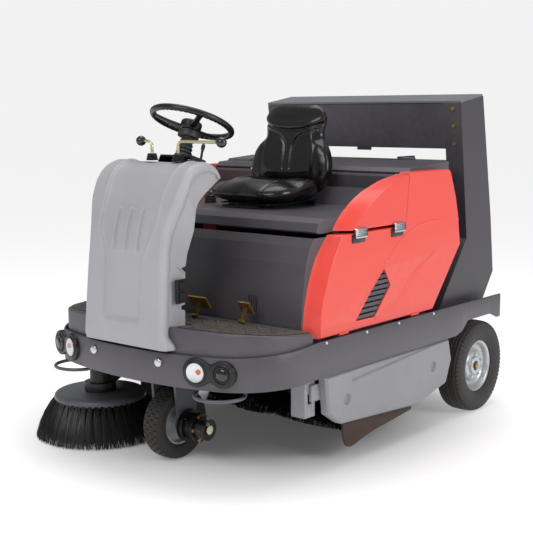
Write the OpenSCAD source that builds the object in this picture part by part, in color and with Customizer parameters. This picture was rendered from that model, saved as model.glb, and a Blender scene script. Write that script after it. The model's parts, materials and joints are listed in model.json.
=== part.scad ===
// Ride-on sweeper: three-wheeled, front-wheel steered and driven, with a side
// broom at the driver's right, a full-width main broom and a tipping hopper.
//
// Machine axes: +X is the driver's left, +Y points to the rear, +Z is up.
// Inside the modules X is measured from the machine's centreline, Y from the
// foremost point of the bumper and Z from the ground. placed() then moves
// each sub-part so that the origin is the middle of the whole machine's
// footprint, on the ground.

/* [Overall] */
// Width over the bumper band
body_w = 1280; // [1060:10:1540]
// Length from the bumper's front to the end of the band
body_l = 1862; // [1700:2:2240]
// Height of the band's lower edge along the sides
band_z = 401; // [380:1:440]

/* [Bumper band and platform] */
// Height of the band
band_h = 143; // [115:1:172]
// How much lower the band runs at the front
band_drop = 28; // [0:1:40]
// Wall of the band
band_t = 8; // [5:1:12]
// Radius of the bumper's front bow
bow_r = 1539; // [1400:1:2400]
// Radius of the left front corner
corner_r = 290; // [200:1:330]
// Step from the band in to the platform wall
platform_step = 20; // [12:1:28]
// Height of the platform at its front
platform_z = 620; // [600:1:650]
// Slope of the platform, down to the rear
platform_slope = 5; // [0:0.5:7]
// Thickness of the tread mat
mat_t = 4; // [3:0.5:8]

/* [Rear wheels] */
// Outer diameter of a rear tyre
rear_wheel_d = 434; // [400:2:446]
// Width of a rear tyre
rear_tyre_w = 118; // [98:1:132]
// Diameter of the rear rim's flange
rear_rim_d = 246; // [200:2:290]
// Distance between the front and the rear axle
wheelbase = 1411; // [1380:1:1440]

/* [Front wheel and steering] */
// Outer diameter of the front tyre
front_wheel_d = 300; // [250:2:330]
// Width of the front tyre
front_tyre_w = 90; // [75:1:108]
// Distance from the bumper to the front axle
front_axle_y = 276; // [266:1:290]
// Outer diameter of the steering wheel
steer_d = 355; // [300:1:410]
// Thickness of its rim
steer_rim_d = 26; // [20:1:32]
// Tilt of the steering wheel towards the driver
steer_tilt = 22.8; // [18:0.1:26]
// Diameter of the king pin
king_pin_d = 60; // [40:1:70]

/* [Side broom] */
// Diameter swept by the side broom at the floor
side_broom_d = 570; // [480:5:600]
// Diameter of its carrier disc
side_disc_d = 340; // [280:5:400]
// Height of the disc's underside
side_disc_z = 176; // [160:1:190]

/* [Main broom] */
// Diameter of the main broom
main_broom_d = 300; // [250:5:330]
// Length of the main broom
main_broom_l = 900; // [760:10:960]
// Diameter of the main broom's drive shaft
main_shaft_d = 30; // [25:1:40]

/* [Body] */
// Height of the split between seat box and seat deck
split_z = 933; // [920:1:945]
// Height of the seat deck
deck_z = 1006; // [990:1:1020]
// Height of the engine hood at its front edge
hood_z = 1175; // [1150:1:1190]
// How far the red side panels stand out from the body behind them
panel_bevel = 60; // [50:1:64]
// Wall of the sheet metal covers
sheet_t = 3; // [2:0.5:4]
// Height of the portal at its front edge
portal_z = 1454; // [1400:1:1500]
// Width of each portal column
column_w = 91; // [80:1:100]

/* [Seat] */
// Width of the seat
seat_w = 470; // [400:5:490]
// Length of the seat's slide rails
seat_rail_l = 330; // [300:5:340]

/* [Hopper] */
// Diameter of the hopper's pivot pins
hopper_pin_d = 32; // [25:1:40]
// Gap between the hopper and each rail
hopper_gap = 10; // [6:1:14]

/* [Hidden] */
$fn = 64;
eps = 0.3;                       // gap between pieces that move apart
fit = 0.05;                      // radial clearance of a shaft in its bore
hw = body_w / 2;
origin_x = 70;                   // the side broom stands out on one side only
origin_y = -950;
rear_axle_y = front_axle_y + wheelbase;
rear_hub_z = rear_wheel_d / 2;
band_top = band_z + band_h;
panel_x = hw - 20;               // outer plane of the red side panels
hull_x = panel_x - panel_bevel;  // outer plane of seat box, deck and hood
portal_x = hw - 69;              // outer plane of the portal
column_x = portal_x - column_w;  // inner plane of the portal's columns
plate_t = 6;
plate_z = band_top - 45;         // underside of the chassis plate
deck_plate_z = plate_z + plate_t;
rail_w = 60;
rail_h = 74;
rail_x = hw - 200;               // inner face of a chassis rail
hopper_x = rail_x - hopper_gap;
hood_y0 = 1155;
hood_y1 = body_l - 372;
portal_y = body_l - 292;         // front of the portal's top
hopper_pivot = [portal_y + 230, portal_z - 334];
steer_c = [403, 1378];           // middle of the steering wheel, y and z
door_y1 = hood_y1 - 2;
seat_y = 885;                    // middle of the seat cushion
seat_rail_z = deck_z + 22;
seat_back_y = seat_y + 130;      // front of the backrest's foot

// ---- small helpers -------------------------------------------------------

module placed() {
    translate([origin_x, origin_y, 0]) children();
}

// Plate whose outline is given in Y and Z, from x0 to x1.
module side_plate(outline, x0, x1) {
    translate([x0, 0, 0])
        rotate([90, 0, 90]) linear_extrude(x1 - x0) polygon(outline);
}

module box(lo, hi) {
    translate(lo) cube(hi - lo);
}

// Cylinder along X from x0 to x1 round the point c = [y, z].
module x_bar(c, r, x0, x1) {
    translate([x0, c[0], c[1]]) rotate([0, 90, 0]) cylinder(r = r, h = x1 - x0);
}

module both_sides() {
    children();
    mirror([1, 0, 0]) children();
}

function flip(p) = [for (i = [len(p) - 1:-1:0]) p[i]];
function tail(p) = [for (i = [1:len(p) - 1]) p[i]];
function arc(c, r, a0, a1, n = 8) =
    [for (i = [0:n]) let (a = a0 + (a1 - a0) * i / n) c + r * [cos(a), sin(a)]];
function bezier(a, b, c, n = 8) =
    [for (i = [0:n]) let (t = i / n) (1 - t) * (1 - t) * a + 2 * t * (1 - t) * b + t * t * c];

// Catmull-Rom curve through the points of p, n steps to a span.
function curve_point(a, b, c, d, t) =
    0.5 * (2 * b + (c - a) * t + (2 * a - 5 * b + 4 * c - d) * t * t
        + (3 * b - a - 3 * c + d) * t * t * t);
function curve(p, n = 3) = let (m = len(p) - 1) concat(
    [for (i = [0:m - 1], k = [0:n - 1])
        curve_point(p[max(i - 1, 0)], p[i], p[i + 1], p[min(i + 2, m)], k / n)],
    [p[m]]);

// The path p moved sideways by t, to the right of its direction.
function beside(p, t) = [for (i = [0:len(p) - 1])
    let (d = p[min(i + 1, len(p) - 1)] - p[max(i - 1, 0)]) p[i] + t * [d[1], -d[0]] / norm(d)];

// ---- chassis -------------------------------------------------------------

bow_c = [0, bow_r];
corner_c = [hw - corner_r,
    bow_r - sqrt(pow(bow_r - corner_r, 2) - pow(hw - corner_r, 2))];
corner_a = atan2(corner_c[1] - bow_r, corner_c[0]);
right_x = hw - 215;              // where the cut-back right corner begins
right_p = [-right_x, bow_r - sqrt(bow_r * bow_r - right_x * right_x)];
right_a = atan2(right_p[1] - bow_r, right_p[0]);

// Plan of the bumper from the left rear round the front to the right rear.
// The right corner is cut back, where the side broom stands out.
function bumper_path(rear) = concat(
    [[hw, rear], [hw, corner_c[1] + 40]],
    arc(corner_c, corner_r, 0, corner_a),
    arc(bow_c, bow_r, corner_a - 1.5, right_a, 12),
    tail(bezier(right_p, right_p + [-115, 50], right_p + [-215, 390], 6)),
    [[-hw, rear]]);

module plan_slab(path, z0, z1) {
    translate([0, 0, z0]) linear_extrude(z1 - z0) polygon(path);
}

module chassis_frame() {
    color("#3a3a3e") {
        difference() {
            plan_slab(beside(bumper_path(hood_y1 - 60), band_t), plate_z, deck_plate_z);
            translate([0, front_axle_y, plate_z - 1]) cylinder(d = king_pin_d + 2 * fit, h = plate_t + 2);
            lamp_room();
        }
        // head bearing housing of the steering fork
        difference() {
            translate([0, front_axle_y, plate_z - 40]) cylinder(d = king_pin_d + 50, h = 40 - eps);
            translate([0, front_axle_y, plate_z - 41]) cylinder(d = king_pin_d + 2 * fit, h = 42);
        }
        both_sides() {
            box([rail_x, 140, plate_z - rail_h], [rail_x + rail_w, body_l - 2, plate_z - eps]);
            // rear axle bracket
            box([rail_x, rear_axle_y - 60, rear_hub_z + 30],
                [rail_x + rail_w, rear_axle_y + 60, plate_z - rail_h - eps]);
            // foot of the lift cylinder on the portal's column, with its pin
            box([lift_x + 9, lift_base[0] - 12, deck_plate_z],
                [column_x - eps, lift_base[0] + 12, lift_base[1] + 12]);
            x_bar(lift_base, lift_pin_d / 2, lift_x - 7, lift_x + 12);
            // outrigger that carries the column and the band's rear end, with its lashing hole
            difference() {
                box([column_x, body_l - 110, plate_z], [hw - band_t, body_l - 10, deck_plate_z]);
                translate([lash_x, lash_y, plate_z - 1]) cylinder(d = lash_d, h = plate_t + 2);
            }
        }
        // cross members between the rails
        for (y = [[640, 700], [1330, 1370]])
            box([eps - rail_x, y[0], plate_z - rail_h], [rail_x - eps, y[1], plate_z - eps]);
    }
}

lash_d = 20;                     // lashing holes in the rear outriggers
lash_x = (portal_x + hw - band_t) / 2;
lash_y = body_l - 62;
arch_y0 = rear_axle_y - 182;
arch_top = rear_wheel_d + 24;

// Side view of the band: lower at the front, with an arch over the rear wheel.
band_side = [[-20, band_z - 13], [30, band_z - 13], [430, band_z], [arch_y0 - 55, band_z],
    [arch_y0, band_z + 15], [arch_y0 + 50, arch_top], [rear_axle_y + 84, arch_top],
    [rear_axle_y + 150, band_z + 31], [body_l, band_z + 31], [body_l, band_top], [430, band_top],
    [30, band_top - band_drop], [-20, band_top - band_drop]];

lamp_c = [404, 62, 459];         // middle of a lamp pair
lamp_turn = 16;                  // how far a pair faces outwards
lamp_gap = 111;
lamp_r = [56, 52];               // lobes of a housing
bolt_x = 183;
bolt_z = 477;

// Children are drawn with +Y pointing into the machine from the pair's face.
module at_lamps() {
    translate(lamp_c) rotate([0, 0, lamp_turn]) children();
    mirror([1, 0, 0]) translate(lamp_c) rotate([0, 0, lamp_turn]) children();
}

// Room for the lamp housings in what lies behind the band.
module lamp_room() {
    at_lamps() {
        y_disc(-lamp_gap / 2, -40, lamp_r[0] + 1, 90);
        y_disc(lamp_gap / 2, -40, lamp_r[1] + 1, 90);
    }
}

module y_disc(x, y, r, h) {
    translate([x, y, 0]) rotate([-90, 0, 0]) cylinder(r = r, h = h);
}

module bumper_band() {
    color("#4b474e") difference() {
        intersection() {
            plan_slab(concat(bumper_path(body_l), flip(beside(bumper_path(body_l), band_t))),
                band_z - 20, band_top + 5);
            side_plate(band_side, -hw - 5, hw + 5);
        }
        lamp_room();
    }
}

module lamp_housings() {
    color("#151517") at_lamps() difference() {
        union() {
            y_disc(-lamp_gap / 2, -18, lamp_r[0], 46);
            y_disc(lamp_gap / 2, -18, lamp_r[1], 46);
        }
        y_disc(-lamp_gap / 2, -19, 38, 29);
        y_disc(lamp_gap / 2, -19, 33, 29);
    }
}

module lamp_lenses() {
    color("#e8e8ea") at_lamps() {
        y_disc(-lamp_gap / 2, -17, 37, 26);
        y_disc(lamp_gap / 2, -17, 32, 26);
    }
}

// Hoop of round bar below each lamp pair, on two posts.
guard_z = band_z - 38;
guard_r = 98;

module at_guard() {
    translate([404, 112, guard_z]) rotate([0, 0, 20]) children();
}

module lamp_guards() {
    color("#5c6066") both_sides() at_guard() {
        difference() {
            rotate_extrude() translate([guard_r, 0]) circle(r = 7);
            translate([-guard_r - 20, 20, -20]) cube([2 * guard_r + 40, guard_r + 20, 40]);
        }
        translate([-guard_r, 14, 0]) cylinder(r = 7, h = plate_z - guard_z);
        translate([guard_r, 14, 0]) cylinder(r = 7, h = plate_z - rail_h - guard_z);
    }
}

module band_screws() {
    color("#d9dadc") {
        for (x = [-bolt_x, bolt_x])
            translate([x, bow_r - sqrt(bow_r * bow_r - x * x) - 14.5, bolt_z]) rotate([-90, 0, 0])
                cylinder(d = 36, h = 12);
        both_sides() for (y = [466, 738, 973, 1250])
            x_bar([y, band_top - 8], 6, hw, hw + 4);
    }
}

// ---- platform ------------------------------------------------------------

platform_y1 = 404;
function platform_top(y) = platform_z - y * tan(platform_slope);

// Platform in plan, cut to its side view: its top slopes down to the rear.
module platform_solid(inset, drop, y1) {
    intersection() {
        plan_slab(beside(bumper_path(platform_y1 + 200), inset), deck_plate_z, platform_z + 20);
        side_plate([[0, deck_plate_z], [y1, deck_plate_z], [y1, platform_top(y1) - drop],
            [0, platform_z - drop]], -hw, hw);
    }
}

module platform_tub() {
    color("#4b474e") difference() {
        platform_solid(platform_step, 0, platform_y1);
        platform_solid(platform_step + 5, 5, platform_y1 - 5);
        lamp_room();
    }
}

module tread_mat() {
    color("#2b2320") difference() {
        intersection() {
            plan_slab(beside(bumper_path(platform_y1 + 200), platform_step + 14),
                deck_plate_z, platform_z + 20);
            side_plate([[60, platform_top(60)], [platform_y1, platform_top(platform_y1)],
                [platform_y1, platform_top(platform_y1) + mat_t], [60, platform_top(60) + mat_t]],
                -hw, hw);
        }
        box([-236, -20, 500], [236, 150, 700]);
        box([-shroud_w / 2 - 2, 0, 500], [shroud_w / 2 + 2, 208, 700]);
    }
}

// ---- front cowl and controls ---------------------------------------------

cowl_foot = platform_z - 90;     // lower edge of the cowl, over the band
cowl_front = curve([[-17, cowl_foot], [-6, 670], [14, 909], [66, 1080], [112, 1180],
    [150, 1215], [200, 1236], [252, 1222], [295, 1200], [314, 1177]]);
cowl_back = [[290, 1143], [233, 1108], [165, 1085], [163, 1008], [156, 912],
    [143, 817], [135, 701], [133, cowl_foot + 113], [133, cowl_foot]];
cowl_half = [[230, cowl_foot - 5], [222, 670], [210, 909], [218, 1000], [240, 1080], [250, 1180],
    [238, 1220], [200, 1245]];
cowl_t = 6;

module cowl_solid(t) {
    intersection() {
        side_plate(concat(beside(cowl_front, t), cowl_back), -260, 260);
        translate([0, 400, 0]) rotate([90, 0, 0]) linear_extrude(500)
            polygon(concat([for (p = cowl_half) p - [t, t]],
                flip([for (p = cowl_half) [t - p[0], p[1] - t]])));
    }
}

module front_cowl() {
    color("#acacb0") {
        difference() {
            cowl_solid(0);
            // hollow, open to the back
            intersection() {
                cowl_solid(cowl_t);
                side_plate([[-40, cowl_foot + 8], [400, cowl_foot + 8], [400, 1400], [-40, 1400]],
                    -230, 230);
            }
            side_plate([[60, 1070], [330, 1150], [330, 1110], [200, 600], [60, 600]], -205, 205);
            // way for the steering column's shroud
            box([-shroud_w / 2 - 1, 190, 1000], [shroud_w / 2 + 1, 400, 1300]);
            // cooling notches in the left side face
            for (z = [705, 800, 895]) box([190, 118, z], [260, 190, z + 22]);
            // lower part clears the platform wall
            box([-260, platform_step - 0.5, cowl_foot - 5], [260, 400, platform_z + mat_t + 2]);
        }
        // raised louvres on the front
        for (x = [-66, 0, 66])
            intersection() {
                side_plate(concat(beside(cowl_front, -7), flip(beside(cowl_front, 1))), x - 14, x + 14);
                box([x - 14, -40, 930], [x + 14, 200, 1100]);
            }
    }
}

shroud_w = 180;
function column_y(z) = steer_c[0] - (steer_c[1] - z) * tan(steer_tilt);

// Cover round the steering column, on the driver's side of the cowl.
module column_shroud() {
    shroud_foot = platform_top(120) + eps;
    outer = [[120, shroud_foot], [205, shroud_foot], [206, 760],
        [column_y(900) + 52, 900], [column_y(1100) + 52, 1100], [column_y(1225) + 48, 1225],
        [column_y(1225) - 30, 1250], [column_y(1225) - 44, 1225], [column_y(1060) - 46, 1060],
        [170, 930], [150, 760]];
    color("#a6a6aa") difference() {
        side_plate(outer, -shroud_w / 2, shroud_w / 2);
        side_plate([for (p = outer) [p[0] * 0.94 + 11, p[1] - 6]], -shroud_w / 2 + 4, shroud_w / 2 - 4);
        on_column() cylinder(r = 40, h = 1500, center = true);
    }
}

// Frame whose Z is the steering column's axis, through the wheel's middle.
module on_column() {
    translate([0, steer_c[0], steer_c[1]]) rotate([-steer_tilt, 0, 0]) children();
}

module steering_column() {
    color("#1c1c1e") {
        difference() {
            union() {
                on_column() translate([0, 0, -640]) cylinder(r = 24, h = 580);
                // pedestal on the platform, inside the shroud
                side_plate([[134, platform_top(134)], [188, platform_top(188)], [186, 790], [160, 790]],
                    -30, 30);
            }
            on_column() translate([0, 0, -900]) cylinder(r = 12 + fit, h = 900);
        }
        // bellows at the top of the tube
        on_column() for (i = [0:4]) difference() {
            translate([0, 0, -148 + 16 * i]) cylinder(r1 = 36 - 2 * i, r2 = 30 - 2 * i, h = 13);
            translate([0, 0, -149 + 16 * i]) cylinder(r = 24, h = 18);
        }
        // switch housing below the wheel
        on_column() difference() {
            translate([0, 0, -66]) cylinder(r = 44, h = 26);
            translate([0, 0, -67]) cylinder(r = 12 + fit, h = 30);
        }
    }
}

module steering_wheel() {
    rim_r = (steer_d - steer_rim_d) / 2;
    color("#1a1a1c") on_column() {
        rotate_extrude() translate([rim_r, 0]) circle(d = steer_rim_d);
        for (a = [90, 215, 325]) rotate([0, 0, a])
            translate([30, 0, -14]) rotate([0, 90, 0]) cylinder(r = 9, h = rim_r - 32);
        translate([0, 0, -36]) cylinder(r = 44, h = 40);
        translate([0, 0, -630]) cylinder(r = 12, h = 600);
    }
}

// Bent rod with a ball joint at its foot and a ball knob at its end.
module ball_lever(base, up, reach) {
    translate(base) {
        rotate([0, 90, 0]) cylinder(r = 6, h = 14, center = true);
        cylinder(r = 6, h = up);
        translate([0, 0, up]) sphere(r = 6);
        translate([0, 0, up]) rotate([0, 90, 0]) cylinder(r = 6, h = reach);
        translate([reach, 0, up]) sphere(r = 20);
    }
}

lever_z = 1264;
lever_y = 232;
lever_left_x = 86;
lever_right_x = -60;

module lever_left() {
    color("#c9b58a") ball_lever([lever_left_x, lever_y, lever_z], 42, 230);
}

module lever_right() {
    color("#c9b58a") translate([lever_right_x, lever_y, lever_z]) mirror([1, 0, 0])
        ball_lever([0, 0, 0], 42, 62);
}

// Rubber bellows of height h round the foot of a lever.
module boot(base, r, h) {
    for (i = [0:3]) translate(base + [0, 0, i * h / 4])
        cylinder(r1 = r - i * 2.5, r2 = r - 5 - i * 2.5, h = h / 4 - 1);
    translate(base) cylinder(r = 9, h = h);
}

boot_z = 1236;                   // where the cowl's crown carries the boots

module lever_boots() {
    color("#1a1a1c") {
        boot([lever_left_x, lever_y, boot_z], 26, lever_z - 6 - eps - boot_z);
        boot([lever_right_x, lever_y, boot_z], 26, lever_z - 6 - eps - boot_z);
        boot([brake_x, brake_y, deck_z], 30, brake_h - 8 - eps);
    }
}

stalk_x = 178;
stalk_y = 262;

module column_stalk() {
    color("#1a1a1c") translate([stalk_x, stalk_y, 1228.2]) {
        rotate([0, 90, 0]) cylinder(r = 9, h = 18, center = true);
        rotate([-14, 0, 0]) cylinder(r1 = 5, r2 = 4, h = 62);
        rotate([-14, 0, 0]) translate([0, 0, 62]) sphere(r = 8);
    }
}

switch_z = 745;
switch_x = lookup(switch_z - 46, [for (p = cowl_half) [p[1], p[0]]]) + eps;

module switch_plate() {
    color("#151517") difference() {
        box([switch_x, 66, switch_z - 46], [switch_x + 9, 120, switch_z + 46]);
        for (dz = [-21, 21])
            box([switch_x + 2, 78, switch_z + dz - 17], [switch_x + 10, 108, switch_z + dz + 17]);
    }
}

module rocker(dz) {
    box([switch_x + 4.5, 80, switch_z + dz - 15], [switch_x + 11, 106, switch_z + dz + 15]);
    // trunnions
    translate([switch_x + 7, 93, switch_z + dz]) rotate([90, 0, 0])
        cylinder(r = 2, h = 29.4, center = true);
}

module rocker_upper() { color("#26262a") rocker(21); }
module rocker_lower() { color("#26262a") rocker(-21); }

module pedal(x, y, w, z) {
    color("#b9a06a") translate([x, y, z]) {
        // pivot sleeve, stem and foot plate
        rotate([0, 90, 0]) cylinder(r = 8, h = 30, center = true);
        rotate([-24, 0, 0]) box([-9, -3, 0], [9, 3, 58]);
        rotate([-24, 0, 0]) translate([0, 0, 58]) rotate([58, 0, 0])
            box([-w / 2, -4, -28], [w / 2, 4, 28]);
    }
}

accelerator_x = 110;
brake_pedal_x = 330;
pedal_y = 292;
pedal_z = platform_top(pedal_y) + mat_t + 9;

module accelerator_pedal() { pedal(accelerator_x, pedal_y, 100, pedal_z); }
module brake_pedal() { pedal(brake_pedal_x, pedal_y + 34, 60, pedal_z - 34 * tan(platform_slope)); }

// ---- seat box, deck, hood and red side panels ------------------------------

box_front = [[408, deck_plate_z], [408, 592], [420, 699], [439, 833], [464, 900], [489, split_z]];
box_y1 = 1052;

module seat_box() {
    color("#4b474e") difference() {
        side_plate(concat(box_front, [[box_y1, split_z], [box_y1, deck_plate_z]]),
            -hull_x, hull_x);
        side_plate([[414, deck_plate_z - 1], [414, 592], [426, 699], [445, 833], [470, 898],
            [492, split_z + 1], [box_y1 + 1, split_z + 1], [box_y1 + 1, deck_plate_z - 1]],
            -hull_x + sheet_t, hull_x - sheet_t);
        // upright vent slots low in the front face
        for (i = [0:5]) box([280 + 9 * i, 400, 622], [284 + 9 * i, 440, 692]);
    }
}

deck_front = 508;

module seat_deck() {
    outer = [[deck_front + 14, 947], [deck_front, 955], [deck_front + 12, 988],
        [deck_front + 42, deck_z], [1062, deck_z], [hood_y0 - 10, hood_z - 28],
        [hood_y0 - 10, 960]];
    inner = [[deck_front + 20, 946], [deck_front + 22, 985], [deck_front + 46, deck_z - 6],
        [1064, deck_z - 6], [hood_y0 - 16, hood_z - 32], [hood_y0 - 16, 959]];
    color("#4b474e") {
        difference() {
            side_plate(outer, -hull_x, hull_x);
            side_plate(inner, -hull_x + sheet_t, hull_x - sheet_t);
        }
        // feet of the deck on the seat box walls
        both_sides() for (y = [620, 1000])
            box([hull_x - 40, y, split_z], [hull_x - sheet_t, y + 40, 961]);
        // bulkhead below the hood's front edge, down to the chassis plate
        box([-hull_x, hood_y0 - 10, deck_plate_z], [hull_x, hood_y0 - 6, hood_z - 28]);
    }
}

// Front edge curve of the red lids and doors, in Y and Z.
lid_inner = curve([[661, 953], [715, 996], [784, 1043], [854, 1083], [927, 1112],
    [1001, 1132], [1070, 1150]], 2);
lid_outer = curve([[603, 953], [629, 992], [662, 1017], [730, 1064], [799, 1092],
    [870, 1116], [942, 1137], [1054, 1152]], 2);
door_inner = curve([[453, 551], [459, 662], [484, 736], [523, 829], [581, 921], [601, 941]], 2);
door_outer = curve([[411, 551], [424, 660], [449, 754], [487, 840], [531, 898], [583, 941]], 2);

// Panel between an inner outline at its outer plane and an outer one at the
// hull's plane: a stack of plates stands in for the bevel between them.
module bevelled(inner, outer, rest) {
    steps = 4;
    depth = panel_x - hull_x - 0.5;
    for (i = [0:steps - 1]) {
        t = i / (steps - 1);
        n = len(inner);
        path = [for (k = [0:n - 1]) (1 - t) * inner[k] + t * outer[min(k, len(outer) - 1)]];
        side_plate(concat(path, rest), panel_x - (i + 1) * depth / steps, panel_x - i * depth / steps);
    }
}

lid_rest = [[1070, 1140], [1044, 953]];

module upper_side_panels() {
    color("#e9503f") both_sides()
        difference() {
            bevelled(lid_inner, [for (i = [0:len(lid_inner) - 1])
                lid_outer[min(i + 1, len(lid_outer) - 1)]], lid_rest);
            side_plate([[700, 960], [1040, 960], [1058, 1132], [990, 1118], [860, 1070]],
                hull_x - 1, panel_x - 16);
        }
}

door_rest = [[1046, 941], [1078, 1140], [1080, 1158], [door_y1 - 85, 1160],
    [door_y1 - 56, 1132], [door_y1 - 2, 934], [door_y1 - 4, 917], [door_y1 + 14, 820],
    [door_y1 - 217, 551]];
grille = [[882, 785], [935, 703], [820, 584], [685, 586]];
hinge_r = 6;
hinge_z = band_top + hinge_r + eps;

module side_door() {
    difference() {
        bevelled(door_inner, door_outer, door_rest);
        // hollow behind the skin
        side_plate([[520, 575], [545, 760], [640, 920], [1060, 920], [1100, 1140],
            [door_y1 - 100, 1140], [door_y1 - 70, 1110], [door_y1 - 20, 920], [door_y1 - 12, 830],
            [door_y1 - 225, 575]], hull_x - 2, panel_x - 16);
        side_plate(grille, panel_x - 20, panel_x + 1);
        // notches round the hinge barrels
        for (y = [600, 1120]) box([panel_x - 12, y - 31, hinge_z - 2], [panel_x + 2, y + 31, hinge_z + 16]);
    }
    // hinge barrels at the lower edge, with their pins
    for (y = [600, 1120]) translate([panel_x + 1, y, hinge_z]) rotate([-90, 0, 0])
        cylinder(r = hinge_r, h = 60, center = true);
    for (y = [600, 1120])
        box([panel_x - 14, y - 30, hinge_z + 2], [panel_x + 1, y + 30, hinge_z + 18]);
}

module side_door_left() { color("#e9503f") side_door(); }
module side_door_right() { color("#e9503f") mirror([1, 0, 0]) side_door(); }

// Slats behind the door's opening, in a thin frame.
module door_grille() {
    for (i = [0:8]) {
        z = 592 + 21 * i;
        intersection() {
            side_plate(grille, panel_x - 15, panel_x - 2);
            side_plate([[640, z - 2], [980, z - 2], [980, z + 12], [640, z + 12]],
                panel_x - 13, panel_x - 4);
        }
    }
    difference() {
        side_plate([for (p = grille) [(p[0] - 830) * 1.08 + 830, (p[1] - 668) * 1.08 + 668]],
            panel_x - 20, panel_x - 16);
        side_plate(grille, panel_x - 21, panel_x - 15);
    }
    intersection() {
        for (y = [706, 826, 880]) box([panel_x - 20, y, 580], [panel_x - 12, y + 8, 790]);
        side_plate(grille, panel_x - 21, panel_x - 11);
    }
}

module door_grille_left() { color("#3b383c") door_grille(); }
module door_grille_right() { color("#3b383c") mirror([1, 0, 0]) door_grille(); }

// Toggle latch: it turns on the door and hooks over the split.
latch_pin_z = 926;

module latch(y) {
    color("#9a9a9e") translate([panel_x, y, latch_pin_z]) {
        rotate([-90, 0, 0]) translate([7 + eps, 0, 0]) cylinder(r = 7, h = 76, center = true);
        box([4, -34, 0], [12, 34, 44]);
    }
}

latch_y = [708, 987];
module latch_left_front() { latch(latch_y[0]); }
module latch_left_rear() { latch(latch_y[1]); }
module latch_right_front() { mirror([1, 0, 0]) latch(latch_y[0]); }
module latch_right_rear() { mirror([1, 0, 0]) latch(latch_y[1]); }

hood_hinge = [hood_y1 + 14, hood_z + 22];

module engine_hood() {
    rise = 18;                   // the hood's top rises to the rear
    outer = [[hood_y0 + 2, hood_z - 24], [hood_y0, hood_z - 18], [hood_y0 + 20, hood_z],
        [hood_y1, hood_z + rise], [hood_y1, hood_z - 24]];
    color("#4b474e") {
        difference() {
            side_plate(outer, -hull_x, hull_x);
            side_plate([[hood_y0 + 8, hood_z - 25], [hood_y0 + 8, hood_z - 16],
                [hood_y0 + 23, hood_z - 5], [hood_y1 - 5, hood_z + rise - 5],
                [hood_y1 - 5, hood_z - 25]], -hull_x + 4, hull_x - 4);
        }
        // low box pressed into the hood at its right
        side_plate([[hood_y0 + 60, hood_z], [hood_y0 + 70, hood_z + 14],
            [hood_y0 + 250, hood_z + 26], [hood_y0 + 260, hood_z + 8]], -hull_x + 20, -hull_x + 160);
        // hinge barrels
        both_sides() difference() {
            union() {
                x_bar(hood_hinge, 8, 300, 370);
                box([300, hood_y1 - 30, hood_z + 10], [370, hood_hinge[0], hood_z + 18]);
            }
            x_bar(hood_hinge, 5 + fit, 299, 371);
        }
    }
}

// ---- portal, filter and hopper ---------------------------------------------

column_front = [[portal_y, portal_z], [portal_y + 76, 826], [portal_y + 50, 795],
    [portal_y - 172, 510], [portal_y - 172, deck_plate_z]];
column_rear = [[body_l - 60, deck_plate_z], [body_l + 45, 644], [body_l + 11, 916],
    [portal_y + 204, portal_z + 33]];

module portal_frame() {
    shape = concat(column_front, column_rear);
    color("#4b474e") {
        both_sides() difference() {
            side_plate(shape, column_x, portal_x);
            side_plate([[portal_y + 12, portal_z - 10], [portal_y + 88, 826], [portal_y + 60, 790],
                [portal_y - 150, 515], [body_l - 66, 515], [body_l + 35, 646], [body_l + 1, 916],
                [portal_y + 196, portal_z + 12]], column_x + sheet_t, portal_x - sheet_t);
            // bores of the hopper's pivot pins
            x_bar(hopper_pivot, hopper_pin_d / 2 + fit, column_x - 1, column_x + sheet_t + 1);
        }
        // cross angle between the columns, with the lugs and pins of the hood's hinges
        box([-column_x - 1, portal_y + 44, hood_z - 30], [column_x + 1, portal_y + 48, hood_z - 4]);
        both_sides() {
            box([280, hood_y1 + 4, hood_z + 12], [299.6, portal_y + 48, hood_z + 32]);
            box([280, portal_y + 44, hood_z - 30], [299.6, portal_y + 48, hood_z + 14]);
            x_bar(hood_hinge, 5, 280, 371);
        }
    }
}

beam_z = portal_z - 210;

module filter_box() {
    outer = [[portal_y + 26, beam_z], [portal_y + 2, portal_z - 2],
        [portal_y + 202, portal_z + 29], [portal_y + 240, beam_z]];
    inner = [[portal_y + 31, beam_z + 4], [portal_y + 7, portal_z + 2],
        [portal_y + 196, portal_z + 32], [portal_y + 234, beam_z + 4]];
    color("#4b474e") {
        difference() {
            side_plate(outer, -column_x, column_x);
            side_plate(inner, -column_x + sheet_t, column_x - sheet_t);
            // inlet from the hopper, in the floor
            box([-200, portal_y + 60, beam_z - 1], [200, portal_y + 200, beam_z + 5]);
        }
        // small grip under the beam
        box([-24, portal_y + 30, beam_z - 14], [56, portal_y + 38, beam_z]);
        // knuckles and pins of the lid's hinges
        both_sides() {
            x_bar(lid_hinge, 5, 400 + eps, 420);
            box([400 + eps, portal_y + 206, portal_z], [420, portal_y + 215, portal_z + 34]);
            x_bar(lid_hinge, 2.5, 341, 401);
        }
    }
}

lid_hinge = [portal_y + 211, portal_z + 36];

module filter_lid() {
    slope = atan2(33, 204);
    color("#70727a") {
        translate([0, portal_y, portal_z + 0.5]) rotate([slope, 0, 0])
            box([-portal_x, 0, 0], [portal_x, 200, 9]);
        both_sides() difference() {
            union() {
                x_bar(lid_hinge, 5, 340, 400);
                box([340, portal_y + 186, portal_z + 33.5], [400, portal_y + 211, portal_z + 40]);
            }
            x_bar(lid_hinge, 2.5 + fit, 339, 401);
        }
    }
}

module panel_filter() {
    color("#d8cfae") for (i = [0:15])
        box([-400 + 50 * i, portal_y + 46, beam_z + 12], [-358 + 50 * i, portal_y + 190, portal_z - 60]);
    color("#9a9a9e") box([-420, portal_y + 40, beam_z + 4], [420, portal_y + 58, beam_z + 12]);
    color("#9a9a9e") box([-420, portal_y + 202, beam_z + 4], [420, portal_y + 218, beam_z + 12]);
}

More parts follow.
